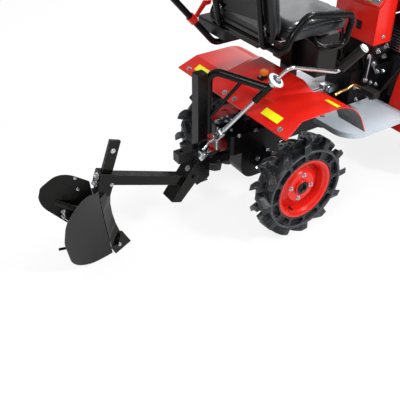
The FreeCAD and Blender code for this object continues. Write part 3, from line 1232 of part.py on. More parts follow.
def hood():
    """Hollow engine hood, open below and behind, with the grille's opening in its face."""
    shell = hood_form(0.0).cut(hood_form(HOOD_SHEET))
    opening = block((HOOD_FRONT_X - HOOD_SHEET - 1, HOOD_FRONT_X + 1),
                    (-GRILLE_HALF_WIDTH, GRILLE_HALF_WIDTH), (GRILLE_LOW, GRILLE_HIGH))
    hinge = hood_hinge()
    knuckle = block((hinge.x - 8, hinge.x + 8), (HINGE_Y, HINGE_Y + 28),
                    (hinge.z - 8, HOOD_HIGH - HOOD_SHEET + 1))
    hole = rod(Vector(hinge.x, HINGE_Y - 1, hinge.z), Vector(hinge.x, HINGE_Y + 29, hinge.z),
               HINGE_PIN_RADIUS + RUNNING_CLEARANCE)
    notch = block((CONSOLE_FRONT_X + HOOD_GAP - 1, hinge.x + 14), (HINGE_Y - 21, HINGE_Y + 1),
                  (hinge.z - 20, HOOD_HIGH + 1))
    shell = shell.cut(opening).cut(Part.makeCompound(both_sides(notch)))
    return fused([shell] + both_sides(knuckle.cut(hole)))


def grille():
    """Slats in a frame that fills the hood's front opening."""
    x = (HOOD_FRONT_X - HOOD_SHEET, HOOD_FRONT_X + 6)
    frame = block(x, (-GRILLE_HALF_WIDTH, GRILLE_HALF_WIDTH), (GRILLE_LOW, GRILLE_HIGH))
    hole = block((x[0] - 1, x[1] + 1), (-GRILLE_HALF_WIDTH + 8, GRILLE_HALF_WIDTH - 8),
                 (GRILLE_LOW + 8, GRILLE_HIGH - 8))
    slats = []
    pitch = (GRILLE_HIGH - GRILLE_LOW - 8) / (GRILLE_SLATS + 1)
    for index in range(GRILLE_SLATS):
        z = GRILLE_LOW + 4 + pitch * (index + 1)
        width = (-GRILLE_HALF_WIDTH + 7, GRILLE_HALF_WIDTH - 7)
        slats.append(block((x[0] + 1, x[1] - 1), width, (z - 3, z + 3)))
    return fused([frame.cut(hole)] + slats)


def headlamps():
    """Two round lamps on the hood's face, beside the grille."""
    lamps = []
    for y in (-1, 1):
        place = Vector(HOOD_FRONT_X, y * (HOOD_HALF_WIDTH + GRILLE_HALF_WIDTH) / 2, HOOD_HIGH - 150)
        lamps.append(rod(place, place + X * 22, 26))
    return Part.makeCompound(lamps)


def exhaust():
    """Silencer and tail pipe on the engine's left side."""
    low = Vector(ENGINE_REAR_X + 60, ENGINE_HALF_WIDTH + 28, ENGINE_HIGH - 20)
    drum = rod(low, low + X * 180, 30)
    pipe = tube([low + X * 170, low + X * 260, low + Vector(290, 0, -70)], [36], 14)
    flange = block((low.x + 40, low.x + 80), (ENGINE_HALF_WIDTH - 42, ENGINE_HALF_WIDTH + 10),
                   (low.z - 8, low.z + 24))
    return fused([drum, pipe, flange])


def bumper():
    """Front guard with its two arms."""
    arms = both_sides(block((FRAME_FRONT_X, BUMPER_X - 10), (50, 62), (FRAME_LOW + 6, FRAME_HIGH - 6)))
    bar = block((BUMPER_X - 12, BUMPER_X), (-170, 170), (FRAME_LOW - 10, FRAME_HIGH + 40))
    return fused(arms + [bar])


def build():
    """Every sub-part by name, set out from the rear axle."""
    nodes = {}
    for name, axle_x in (("rear", 0.0), ("front", WHEELBASE)):
        for side_name, side in (("left", 1), ("right", -1)):
            place = wheel_centre(axle_x, side)
            for kind, make in (("tyre", tyre), ("rim", rim)):
                shape = make(side)
                shape.translate(place)
                nodes[f"{kind}_{name}_{side_name}"] = shape
    nodes["rear_gearbox"] = rear_gearbox()
    nodes["pto_cap"] = pto_cap()
    nodes["rear_frame"] = rear_frame()
    nodes["rear_shaft"] = rear_shaft()
    nodes["rear_fender"] = rear_fender()
    nodes["fender_brackets"] = Part.makeCompound(fender_stays())
    nodes["seat_frame"] = seat_frame()
    nodes["seat_pads"] = Part.makeCompound([seat_cushion(), seat_backrest()])
    nodes["battery_box"] = battery_box()
    nodes["grab_tube"] = grab_tube()
    nodes["hook_lever"] = hook_lever()
    nodes["amber_lenses"] = amber_lenses()
    nodes["lamp_base"] = lamp_base()
    nodes["hitch_mast"] = hitch_mast()
    nodes["lift_screw"] = lift_screw()
    nodes["crank_grip"] = crank_grip()
    nodes["lift_arm"] = lift_arm()
    nodes["boom_clamp"] = boom_clamp()
    nodes["plough_body"] = plough_body()
    nodes["mouldboards"] = Part.makeCompound([mouldboard(1), mouldboard(-1)])
    nodes["wing_stays"] = wing_stays()
    nodes["front_frame"] = front_frame()
    nodes["front_gearbox"] = front_gearbox()
    nodes["front_shaft"] = front_shaft()
    nodes["front_axle"] = front_axle()
    nodes["engine"] = engine()
    nodes["front_fenders"] = front_fenders()
    nodes["footboards"] = footboards()
    nodes["console"] = console()
    nodes["dash_panel"] = dash_panel()
    nodes["steering_column"] = steering_column()
    nodes["steering_wheel"] = steering_wheel()
    nodes["pedals"] = pedals()
    nodes["gear_levers"] = gear_levers()
    nodes["hood"] = hood()
    nodes["grille"] = grille()
    nodes["headlamps"] = headlamps()
    nodes["exhaust"] = exhaust()
    nodes["bumper"] = bumper()
    return nodes


def centred(nodes):
    """Move all sub-parts so that the middle of the machine's length stands over the origin."""
    boxes = [shape.optimalBoundingBox(True, False) for shape in nodes.values()]
    shift = -(min(box.XMin for box in boxes) + max(box.XMax for box in boxes)) / 2
    for shape in nodes.values():
        shape.translate(X * shift)
    return shift


def main():
    """Build every sub-part, centre them over the origin and write them out."""
    nodes = build()
    centred(nodes)
    os.makedirs("parts", exist_ok=True)
    for name, shape in nodes.items():
        shape.exportStep(f"parts/{name}.step")
        print(name, len(shape.Solids), shape.isValid(), round(shape.Volume / 1000), shape.BoundBox)


if __name__ == "__main__":
    main()
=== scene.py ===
"""A small articulated tractor with a ridger mounted behind it, dressed for a studio picture."""
from __future__ import annotations

import logging
import math
from dataclasses import dataclass, field
from enum import Enum
from typing import Any, Iterable, Sequence

import bmesh
import bpy
from mathutils import Matrix, Vector
from mathutils.bvhtree import BVHTree


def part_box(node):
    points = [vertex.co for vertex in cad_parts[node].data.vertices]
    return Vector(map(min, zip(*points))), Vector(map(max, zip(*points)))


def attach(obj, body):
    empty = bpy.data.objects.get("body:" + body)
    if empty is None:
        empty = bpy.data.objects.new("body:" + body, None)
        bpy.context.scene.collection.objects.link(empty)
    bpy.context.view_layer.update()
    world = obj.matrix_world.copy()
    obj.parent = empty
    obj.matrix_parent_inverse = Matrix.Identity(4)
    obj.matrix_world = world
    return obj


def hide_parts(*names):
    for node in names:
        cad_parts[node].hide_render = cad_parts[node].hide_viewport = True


LOG = logging.getLogger("tractor")
MM = 0.001                     # metres in a millimetre
SIDES = (-1, 1)                # the machine's right, then its left
Tree, Socket, Node, Thing = bpy.types.NodeTree, bpy.types.NodeSocket, bpy.types.Node, bpy.types.Object
BMesh, BMVert, BMEdge, BMFace = bmesh.types.BMesh, bmesh.types.BMVert, bmesh.types.BMEdge, bmesh.types.BMFace


def vec(x: float, y: float, z: float) -> Vector:
    """A place or a direction, in millimetres unless it says otherwise."""
    return Vector((x, y, z))


def point(x: float, y: float, z: float) -> Any:
    """A dataclass's field that starts as this place."""
    return field(default_factory=lambda: vec(x, y, z))


X, Y, Z = vec(1, 0, 0), vec(0, 1, 0), vec(0, 0, 1)

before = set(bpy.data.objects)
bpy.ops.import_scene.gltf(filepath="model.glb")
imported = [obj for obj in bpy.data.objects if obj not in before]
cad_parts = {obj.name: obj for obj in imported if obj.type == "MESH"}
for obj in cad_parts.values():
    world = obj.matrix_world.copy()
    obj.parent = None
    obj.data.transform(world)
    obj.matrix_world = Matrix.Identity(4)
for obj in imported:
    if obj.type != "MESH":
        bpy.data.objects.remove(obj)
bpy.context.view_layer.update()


class Body(Enum):
    """The bodies that a piece can ride on."""

    REAR = "rear_unit"
    FRONT = "front_unit"
    TOOL = "implement"
    HOOD = "engine_hood"
    STEERING = "steering"
    WHEEL_REAR_LEFT = "wheel_rear_left"
    WHEEL_REAR_RIGHT = "wheel_rear_right"
    WHEEL_FRONT_LEFT = "wheel_front_left"
    WHEEL_FRONT_RIGHT = "wheel_front_right"


class Slot(Enum):
    """Names of material slots; each new piece is passed one, which nothing reads."""

    RED = "red_paint"
    BLACK = "black_paint"
    STEEL = "bright_steel"
    CHROME = "chrome_plate"
    PLASTIC = "black_plastic"
    RUBBER = "tyre_rubber"
    VINYL = "seat_vinyl"
    AMBER = "amber_plastic"
    GREY = "grey_paint"
    IRON = "engine_iron"


# ============================================================ finishes

def linear(code: str) -> tuple[float, float, float, float]:
    """Turn an sRGB hex colour into linear values.

    Args:
        code: six hex digits with a leading hash.

    Returns:
        Red, green, blue and an alpha of 1.
    """
    parts = [int(code[index:index + 2], 16) / 255 for index in (1, 3, 5)]
    light = [part / 12.92 if part <= 0.04045 else ((part + 0.055) / 1.055) ** 2.4 for part in parts]
    return (*light, 1.0)


def add_node(tree: Tree, kind: str, settings: dict[Any, Any] | None = None,
             links: dict[Any, Socket] | None = None) -> Node:
    """Add one node with its settings and links.

    Args:
        tree: the material's or the world's nodes.
        kind: the node's type name.
        settings: input sockets by name or number, or else the node's own properties.
        links: output sockets that feed its inputs, by name or number.

    Returns:
        The new node.
    """
    node = tree.nodes.new(kind)
    for key, value in (settings or {}).items():
        if isinstance(key, int) or key in node.inputs:
            node.inputs[key].default_value = value
        else:
            setattr(node, key, value)
    for key, source in (links or {}).items():
        tree.links.new(source, node.inputs[key])
    return node


def blank(owner: bpy.types.Material | bpy.types.World) -> Tree:
    """Start a material's or the world's nodes with none.

    Args:
        owner: what the nodes belong to.

    Returns:
        Its empty tree.
    """
    owner.use_nodes = True
    owner.node_tree.nodes.clear()
    return owner.node_tree


@dataclass(frozen=True)
class Finish:
    """A finish with cloudy tone, fine grain and tinted edges, worn paint on some finishes and painted
    highlight on others; sizes are in millimetres.

    Attributes:
        tone: second colour that the base drifts to, in clouds of size cloud.
        grain: spacing of the fine bumps, and relief their height.
        edge: colour painted where edges turn, rubbed paint on some finishes and a painted highlight on
            others; wear_and_highlight says how much of it.
        round: radius at which hard edges catch the light.
        rough_drift: how far the roughness wanders either way.
        dust: how much dust lies on what faces up.
        specular: strength of the mirror-like part, 0.5 for a plain varnish.
    """

    name: str
    base: str
    tone: str
    roughness: float
    metallic: float = 0.0
    coat: float = 0.0
    cloud: float = 90.0
    grain: float = 2.0
    relief: float = 0.05
    edge: str = "#9a9a98"
    wear_and_highlight: float = 0.0
    round: float = 1.2
    rough_drift: float = 0.08
    dust: float = 0.0
    specular: float = 0.5

    def colour(self, tree: Tree, place: Socket) -> Socket:
        """Base colour with its clouds, before wear.

        Args:
            Base colour with its clouds, before the edge tint.
            place: coordinates on the piece.

        Returns:
            The colour, before the edge tint and dust.
        """
        clouds = add_node(tree, "ShaderNodeTexNoise", {"Scale": 1 / (self.cloud * MM), "Detail": 4.0},
                          {"Vector": place})
        tones = {"data_type": "RGBA", 6: linear(self.base), 7: linear(self.tone)}
        return add_node(tree, "ShaderNodeMix", tones, {0: clouds.outputs["Fac"]}).outputs[2]

    def surface(self, tree: Tree, place: Socket) -> Socket:
        """Height of the fine pattern, from 0 to 1."""
        grain = add_node(tree, "ShaderNodeTexNoise", {"Scale": 1 / (self.grain * MM), "Detail": 3.0},
                         {"Vector": place})
        return grain.outputs["Fac"]

    def adjust(self, shader: Node) -> None:
        """Last changes to the shader; a plain finish has none."""

    def build(self) -> bpy.types.Material:
        """Make the material with its nodes.

        Returns:
            The material.
        """
        material = bpy.data.materials.new(self.name)
        tree = blank(material)
        place = add_node(tree, "ShaderNodeTexCoord").outputs["Object"]
        soft = add_node(tree, "ShaderNodeBevel", {"samples": 4, "Radius": self.round * MM})
        colour = self.colour(tree, place)
        # edges tinted where they turn: worn paint, and on the black and rubber finishes a painted highlight
        if self.wear_and_highlight > 0:
            colour = self.edge_wear_and_highlight(tree, place, colour)
        if self.dust > 0:
            colour = self.settle(tree, place, colour)
        height = self.surface(tree, place)
        bump = add_node(tree, "ShaderNodeBump", {"Strength": 1.0, "Distance": self.relief * MM},
                        {"Height": height, "Normal": soft.outputs["Normal"]})
        drift = add_node(tree, "ShaderNodeTexNoise", {"Scale": 1 / (self.cloud * 0.4 * MM), "Detail": 5.0},
                         {"Vector": place})
        limits = {"To Min": self.roughness - self.rough_drift, "To Max": self.roughness + self.rough_drift}
        rough = add_node(tree, "ShaderNodeMapRange", limits, {"Value": drift.outputs["Fac"]})
        shader = add_node(tree, "ShaderNodeBsdfPrincipled",
                          {"Metallic": self.metallic, "Coat Weight": self.coat, "Coat Roughness": 0.12,
                           "Specular IOR Level": self.specular},
                          {"Base Color": colour, "Roughness": rough.outputs["Result"],
                           "Normal": bump.outputs["Normal"]})
        self.adjust(shader)
        add_node(tree, "ShaderNodeOutputMaterial", {}, {"Surface": shader.outputs["BSDF"]})
        return material

    def edge_wear_and_highlight(self, tree: Tree, place: Socket, colour: Socket) -> Socket:
        """Blend in the edge colour where an edge turns: rubbed paint on some finishes, painted highlight on
        others.

        Args:
            tree: the material's nodes.
            place: coordinates on the piece.
            colour: the paint under the tinted edges.

        Returns:
            Both colours together.
        """
        wide = add_node(tree, "ShaderNodeBevel", {"samples": 6, "Radius": 2.2 * MM})
        real = add_node(tree, "ShaderNodeNewGeometry")
        turn = add_node(tree, "ShaderNodeVectorMath", {"operation": "DOT_PRODUCT"},
                        {0: wide.outputs["Normal"], 1: real.outputs["True Normal"]})
        edge = add_node(tree, "ShaderNodeMapRange", {"From Min": 0.99, "From Max": 0.8, "To Max": self.wear_and_highlight},
                        {"Value": turn.outputs["Value"]})
        edge_breakup_noise = add_node(tree, "ShaderNodeTexNoise", {"Scale": 1 / (9 * MM), "Detail": 4.0},
                         {"Vector": place})
        edge_breakup = add_node(tree, "ShaderNodeMapRange", {"From Min": 0.4, "From Max": 0.65},
                        {"Value": edge_breakup_noise.outputs["Fac"]})
        both = add_node(tree, "ShaderNodeMath", {"operation": "MULTIPLY"},
                        {0: edge.outputs["Result"], 1: edge_breakup.outputs["Result"]})
        mix = add_node(tree, "ShaderNodeMix", {"data_type": "RGBA", 7: linear(self.edge)},
                       {0: both.outputs[0], 6: colour})
        return mix.outputs[2]

    def settle(self, tree: Tree, place: Socket, colour: Socket) -> Socket:
        """Lay thin dust on what faces up.

        Args:
            tree: the material's nodes.
            place: coordinates on the piece.
            colour: what the dust lies on.

        Returns:
            Both colours together.
        """
        real = add_node(tree, "ShaderNodeNewGeometry")
        parts = add_node(tree, "ShaderNodeSeparateXYZ", {}, {0: real.outputs["Normal"]})
        patch = add_node(tree, "ShaderNodeTexNoise", {"Scale": 1 / (60 * MM), "Detail": 6.0},
                         {"Vector": place})
        limits = {"From Min": 0.45, "From Max": 0.75, "To Max": self.dust}
        patches = add_node(tree, "ShaderNodeMapRange", limits, {"Value": patch.outputs["Fac"]})
        upward = add_node(tree, "ShaderNodeMath", {"operation": "MULTIPLY", "use_clamp": True},
                          {0: parts.outputs["Z"], 1: patches.outputs["Result"]})
        mix = add_node(tree, "ShaderNodeMix", {"data_type": "RGBA", 7: linear("#a89f92")},
                       {0: upward.outputs[0], 6: colour})
        return mix.outputs[2]


@dataclass(frozen=True)
class Vinyl(Finish):
    """Leathercloth: pebbled by its rollers, so small cells lie between fine creases."""

    def surface(self, tree: Tree, place: Socket) -> Socket:
        """Pebbles about two millimetres across.

        Args:
            tree: the material's nodes.
            place: coordinates on the piece.

        Returns:
            Height, 0 in the creases.
        """
        cells = add_node(tree, "ShaderNodeTexVoronoi",
                         {"feature": "DISTANCE_TO_EDGE", "Scale": 1 / (self.grain * MM), "Randomness": 1.0},
                         {"Vector": place})
        crease = add_node(tree, "ShaderNodeMapRange", {"From Max": 0.12},
                          {"Value": cells.outputs["Distance"]})
        return crease.outputs["Result"]


@dataclass(frozen=True)
class Brushed(Finish):
    """Zinc or chrome plate over turned or drawn steel, with a faint grain along it."""

    def surface(self, tree: Tree, place: Socket) -> Socket:
        """Fine scratches, finer across than along.

        Args:
            tree: the material's nodes.
            place: coordinates on the piece.

        Returns:
            Height of the scratches.
        """
        stretched = add_node(tree, "ShaderNodeMapping", {"Scale": (1.0, 1.0, 0.15)}, {"Vector": place})
        grain = add_node(tree, "ShaderNodeTexNoise", {"Scale": 1 / (self.grain * MM), "Detail": 6.0},
                         {"Vector": stretched.outputs["Vector"]})
        return grain.outputs["Fac"]


@dataclass(frozen=True)
class CastMetal(Finish):
    """Sand-cast iron or alloy under paint: rough all over, with pits."""

    def surface(self, tree: Tree, place: Socket) -> Socket:
        """Grains of the mould, coarse and fine together.

        Args:
            tree: the material's nodes.
            place: coordinates on the piece.

        Returns:
            Height of the grains and pits.
        """
        fine = add_node(tree, "ShaderNodeTexNoise", {"Scale": 1 / (self.grain * MM), "Detail": 8.0},
                        {"Vector": place})
        pits = add_node(tree, "ShaderNodeTexVoronoi", {"Scale": 1 / (self.grain * 3 * MM)}, {"Vector": place})
        both = add_node(tree, "ShaderNodeMath", {"operation": "ADD"},
                        {0: fine.outputs["Fac"], 1: pits.outputs["Distance"]})
        return both.outputs[0]


@dataclass(frozen=True)
class ReflectiveSheet(Finish):
    """Yellow reflex tape: small sealed cells under a glossy film."""

    def surface(self, tree: Tree, place: Socket) -> Socket:
        """Cells four millimetres across.

        Args:
            tree: the material's nodes.
            place: coordinates on the piece.

        Returns:
            Height, 0 along the cells' walls.
        """
        cells = add_node(tree, "ShaderNodeTexVoronoi",
                         {"feature": "DISTANCE_TO_EDGE", "Scale": 1 / (4 * MM), "Randomness": 0.15},
                         {"Vector": place})
        return cells.outputs["Distance"]


@dataclass(frozen=True)
class ClearLens(Finish):
    """Moulded lamp lens: light passes in and comes back tinted."""

    transmission: float = 0.5

    def adjust(self, shader: Node) -> None:
        """Let part of the light through."""
        shader.inputs["Transmission Weight"].default_value = self.transmission
        shader.inputs["IOR"].default_value = 1.49


@dataclass(frozen=True)
class ShadedUnderside(Finish):
    """Mudguard sheet: enamel outside, with near-black painted shade on what faces down or inwards under a
    wing.
    """

    # near-black colour painted on the faces under the wings, as painted shade
    seal: str = "#120a09"

    def colour(self, tree: Tree, place: Socket) -> Socket:
        """Enamel, with near-black painted shade on the faces beneath.

        Args:
            tree: the material's nodes.
            place: coordinates on the piece.

        Returns:
            Enamel and painted shade, each on its own side.
        """
        facing = add_node(tree, "ShaderNodeTexCoord").outputs["Normal"]
        turn = add_node(tree, "ShaderNodeSeparateXYZ", {}, {0: facing})
        where = add_node(tree, "ShaderNodeSeparateXYZ", {}, {0: place})
        side = add_node(tree, "ShaderNodeMath", {"operation": "SIGN"}, {0: where.outputs["Y"]})
        outward = add_node(tree, "ShaderNodeMath", {"operation": "MULTIPLY"},
                           {0: side.outputs[0], 1: turn.outputs["Y"]})
        inner = add_node(tree, "ShaderNodeMath", {"operation": "LESS_THAN", 1: -0.2}, {0: outward.outputs[0]})
        steep = add_node(tree, "ShaderNodeMath", {"operation": "LESS_THAN", 1: 0.5}, {0: turn.outputs["Z"]})
        wing = add_node(tree, "ShaderNodeMath", {"operation": "MULTIPLY"},
                        {0: inner.outputs[0], 1: steep.outputs[0]})
        under = add_node(tree, "ShaderNodeMath", {"operation": "LESS_THAN", 1: -0.15}, {0: turn.outputs["Z"]})
        either = add_node(tree, "ShaderNodeMath", {"operation": "MAXIMUM"},
                          {0: wing.outputs[0], 1: under.outputs[0]})
        # mix in the painted shade where a face points down or inwards under a wing
        mix = add_node(tree, "ShaderNodeMix", {"data_type": "RGBA", 7: linear(self.seal)},
                       {0: either.outputs[0], 6: super().colour(tree, place)})
        return mix.outputs[2]


class Paints:
    """Every finish on the machine, each made once."""

    # baked enamel, sprayed and stoved: even colour, a wet gloss and hardly any grain
    RED = Finish("red_enamel_gloss", "#d42414", "#c41614", 0.24, cloud=220, grain=4.0, relief=0.03,
                 rough_drift=0.05, specular=0.32)
    # power take-off cap: red moulded polypropylene, painted darker than the enamel as painted shade, since it
    # sits in the fender's shadow
    CAP_SHADED = Finish("red_cap_painted_shade", "#6c0f0d", "#520b0a", 0.38, cloud=40, grain=1.6, relief=0.06,
                   specular=0.25)
    # the same enamel on mudguard sheet, with near-black painted shade on its underside and under its wings
    MUDGUARD_SHADED = ShadedUnderside("red_enamel_shaded_under", "#d42414", "#c41614", 0.24, cloud=220, grain=4.0,
                           relief=0.03, rough_drift=0.05, specular=0.32)
    # powder coat, fused from dust: deep black, soft highlights, a faint orange peel, and grey painted along
    # the edges as a painted highlight
    BLACK = Finish("black_powder_coat_satin", "#040405", "#080809", 0.26, cloud=60, grain=2.6, relief=0.09,
                   edge="#6a6a6d", wear_and_highlight=0.22, specular=0.2)
    # brushed-on tool black over rolled plate: streaky, with pale steel grey on the edges that is partly
    # rubbed by soil and partly painted highlight
    TOOL = Finish("black_tool_paint", "#030303", "#0c0b09", 0.24, cloud=70, grain=4.0, relief=0.03,
                  edge="#a5a39d", wear_and_highlight=0.4, rough_drift=0.14, dust=0.02, specular=0.22)
    # sand-cast alloy under black paint: coarse mould grain shows through it, and grey painted along its edges
    # as a painted highlight
    CASE = CastMetal("black_cast_case", "#050506", "#0b0c0d", 0.34, cloud=50, grain=2.6, relief=0.3,
                     edge="#5e5e5c", wear_and_highlight=0.2, specular=0.2)
    # bare cast iron: grey, pitted and dull
    IRON = CastMetal("bare_cast_iron", "#2b2c2e", "#1d1d1e", 0.5, metallic=0.3, cloud=40, grain=2.4,
                     relief=0.35, specular=0.3)
    # bright zinc electroplate: cool white metal with a fine drawn grain
    ZINC = Brushed("zinc_plate_bright", "#d3d6da", "#aeb4ba", 0.24, metallic=1.0, cloud=14, grain=1.1,
                   relief=0.03)
    # yellow-passivated zinc: warm gold with greenish drifts
    GOLD = Brushed("zinc_plate_yellow", "#e0ad6c", "#b98f5e", 0.24, metallic=1.0, cloud=18, grain=1.1,
                   relief=0.03)
    # nickel plate over bent bar: a soft white mirror
    CHROME = Brushed("nickel_plate_satin", "#d6d9dc", "#bfc3c7", 0.26, metallic=1.0, cloud=40, grain=1.4,
                     relief=0.03)
    # silver-grey enamel on the footboards: flat sheet, scuffed by boots
    GREY = Finish("silver_grey_enamel", "#b4bdc6", "#a5afb8", 0.36, coat=0.1, cloud=160, grain=3.0,
                  relief=0.06, edge="#6f7376", wear_and_highlight=0.3, dust=0.12, specular=0.4)
    # moulded polypropylene: spark-eroded grain, soft sheen
    PLASTIC = Finish("black_plastic_moulded", "#0b0b0c", "#101112", 0.42, cloud=70, grain=1.6, relief=0.1,
                     specular=0.3)
    # ribbed rubber sleeve: dead black with a waxy bloom
    GRIP = Finish("black_rubber_sleeve", "#0b0b0b", "#131313", 0.5, cloud=30, grain=1.6, relief=0.12,
                  specular=0.3)
    # white nylon: moulded, slightly waxy
    WHITE = Finish("white_nylon", "#eceef0", "#e0e3e6", 0.38, cloud=30, grain=2.0, relief=0.03)
    # vulcanised tread rubber: charcoal, with bluish grey painted along the lugs' edges as a painted highlight
    TYRE = CastMetal("tyre_rubber_black", "#0b0c0f", "#191b21", 0.38, cloud=30, grain=1.8, relief=0.22,
                     edge="#a2a6ad", wear_and_highlight=0.62, round=2.4, dust=0.14, specular=0.34)
    # shoulder ring of the tyre: a lighter grey than the tread, painted on as a painted highlight, with paler
    # grey on its edges as well
    RING_SHEEN = CastMetal("tyre_rubber_painted_sheen", "#2a2c30", "#454850", 0.5, cloud=22, grain=1.8, relief=0.2,
                      edge="#9a9ea4", wear_and_highlight=0.6, round=2.0, specular=0.35)
    # leathercloth: PVC skin embossed with pebbles by its rollers
    SEAT = Vinyl("seat_leathercloth", "#14171b", "#1b1f24", 0.34, cloud=140, grain=1.6, relief=0.03,
                 coat=0.15, specular=0.5)
    # extruded welt: smooth, shinier than the cloth beside it
    PIPING = Finish("seat_piping", "#08090a", "#0e0f11", 0.26, cloud=40, grain=1.8, relief=0.05,
                    specular=0.45)
    # yellow reflex tape: sealed cells under a clear film
    REFLEX = ReflectiveSheet("yellow_reflex_sheet", "#f4ec1c", "#ece012", 0.3, coat=0.2, cloud=60,
                             relief=0.08, specular=0.35)
    # amber acrylic lens, moulded with flutes
    AMBER = ClearLens("amber_acrylic_lens", "#f58a14", "#ee7408", 0.2, coat=0.3, cloud=60, grain=3.0,
                      relief=0.12, transmission=0.15)
    # clear acrylic lens over a bright reflector
    LAMP = ClearLens("clear_acrylic_lens", "#e9eef2", "#dfe6ec", 0.12, cloud=40, grain=4.0, relief=0.3,
                     transmission=0.3)
    # grey polycarbonate fascia: fine even grain
    PANEL = Finish("grey_dash_plastic", "#83888f", "#777c84", 0.42, cloud=60, grain=1.6, relief=0.06,
                   specular=0.4)
    # display glass: dark, blue and mirror smooth
    DISPLAY = Finish("dark_display_glass", "#16202e", "#22334a", 0.1, cloud=26, grain=6.0, relief=0.0,
                     coat=0.4)
    # aluminium casting, bead blasted: pale and sparkling
    ALLOY = CastMetal("bead_blasted_alloy", "#a3a6a9", "#8b8e92", 0.42, metallic=0.85, cloud=30, grain=1.6,
                      relief=0.16)

    _made: dict[str, bpy.types.Material] = {}

    @classmethod
    def get(cls, finish: Finish) -> bpy.types.Material:
        """The material of a finish, made when first asked for.

        Args:
            finish: the finish to look up.

        Returns:
            Its material.
        """
        if finish.name not in cls._made:
            cls._made[finish.name] = finish.build()
        return cls._made[finish.name]


# ============================================================ bench: how pieces are shaped

@dataclass(frozen=True)
class Datum:
    """Turns millimetres from the middle of the rear axle, on the ground, into the frame's metres."""

    axle_x: float

    @classmethod
    def read(cls) -> "Datum":
        """Find the rear axle in the frame."""
        low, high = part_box("rim_rear_left")
        return cls((low.x + high.x) / 2)

    def matrix(self) -> Matrix:
        """The change of scale and place."""
        return Matrix.Translation((self.axle_x, 0, 0)) @ Matrix.Scale(MM, 4)

    def millimetres(self, node: str) -> tuple[Vector, Vector]:
        """A CAD node's lowest and highest corners, in millimetres from the rear axle."""
        low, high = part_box(node)
        return tuple((corner - X * self.axle_x) / MM for corner in (low, high))

    def spots(self, node: str) -> list[Vector]:
        """A CAD node's vertices, in millimetres from the rear axle."""
        back = self.matrix().inverted()
        return [back @ vert.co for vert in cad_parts[node].data.vertices]


DATUM = Datum.read()


def clock(turn: float) -> Vector:
    """The direction at an angle, in radians, round Y: from X towards Z."""
    return vec(math.cos(turn), 0, math.sin(turn))


def bevel(mesh: BMesh, edges: Iterable[BMEdge], radius: float, segments: int) -> None:
    """Round some edges."""
    bmesh.ops.bevel(mesh, geom=list(edges), offset=radius, offset_type="OFFSET", segments=segments,
                    profile=0.5, affect="EDGES", material=-1, clamp_overlap=True)


def stand(name: str, data: Any) -> Thing:
    """Put a new object with this data in the scene.

    Args:
        name: of the object.
        data: its mesh, lamp or camera.

    Returns:
        The new object.
    """
    thing = bpy.data.objects.new(name, data)
    bpy.context.scene.collection.objects.link(thing)
    return thing


def look(thing: Thing, place: Vector, heading: Vector) -> None:
    """Stand a lamp or the camera at a place, in metres, and let it look along heading.

    Args:
        thing: the lamp or camera.
        place: where it stands.
        heading: the direction it looks in.
    """
    thing.location = place
    thing.rotation_mode = "QUATERNION"
    thing.rotation_quaternion = heading.to_track_quat("-Z", "Y")


def to_data(mesh: BMesh, name: str) -> bpy.types.Mesh:
    """End the work on a mesh and keep it as data.

    Args:
        mesh: what was worked on, which is freed.
        name: of the data.

    Returns:
        The mesh as data.
    """
    data = bpy.data.meshes.new(name)
    mesh.to_mesh(data)
    mesh.free()
    return data


def edges_of(verts: Iterable[BMVert]) -> list[BMEdge]:
    """The edges that meet some corners, each once, in an order that never varies."""
    return list(dict.fromkeys(edge for vert in verts for edge in vert.link_edges))


def cube(mesh: BMesh, middle: Vector, size: Sequence[float], turn: Matrix | None = None) -> list[BMVert]:
    """Add a box round its middle, turned, and return its corners."""
    place = Matrix.Translation(middle) @ (turn or Matrix.Identity(4)) @ Matrix.Diagonal((*size, 1))
    return bmesh.ops.create_cube(mesh, size=1, matrix=place)["verts"]


def flanks(*points: tuple[float, float, float]) -> Iterable[tuple[Vector, list[Vector]]]:
    """Each side's outward direction, with the points mirrored to that side."""
    for side in SIDES:
        yield Y * side, [vec(x, side * y, z) for x, y, z in points]


def dress(thing: Thing, finish: Finish, body: Body, replaces: Sequence[str] = ()) -> None:
    """Give a new object its finish, its body and the CAD nodes that it stands for.

    Args:
        thing: the object.
        finish: what it is coated with or made of.
        body: the body that it moves with.
        replaces: the CAD nodes that it stands for.
    """
    thing.data.polygons.foreach_set("use_smooth", [True] * len(thing.data.polygons))
    thing.data.materials.clear()
    thing.data.materials.append(Paints.get(finish))
    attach(thing, body.value)
    if replaces:
        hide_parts(*replaces)


def upright_edges(mesh: BMesh, least: float) -> list[BMEdge]:
    """Edges that climb more than least."""
    return [edge for edge in mesh.edges if abs(edge.verts[0].co.z - edge.verts[1].co.z) > least]


def aim(start: Vector, end: Vector) -> Matrix:
    """A frame halfway from start to end, whose Z runs along them."""
    turn = (end - start).to_track_quat("Z", "Y").to_matrix().to_4x4()
    return Matrix.Translation((start + end) / 2) @ turn


def rounded_route(points: Sequence[Vector], radius: float, steps: int = 7) -> list[Vector]:
    """A route with its corners rounded.

    Args:
        points: the corners, in millimetres.
        radius: of every bend.
        steps: points in each bend.

    Returns:
        Points along the rounded route.
    """
    route = [points[0]]
    for before, corner, after in zip(points, points[1:], points[2:]):
        back, ahead = (before - corner).normalized(), (after - corner).normalized()
        half = back.angle(ahead) / 2
        reach = min(radius / math.tan(half), (before - corner).length * 0.48, (after - corner).length * 0.48)
        centre = corner + (back + ahead).normalized() * (reach / math.cos(half))
        first, last = corner + back * reach - centre, corner + ahead * reach - centre
        for step in range(steps + 1):
            route.append(centre + first.slerp(last, step / steps) if first.angle(last) > 1e-4 else corner)
    return route + [points[-1]]


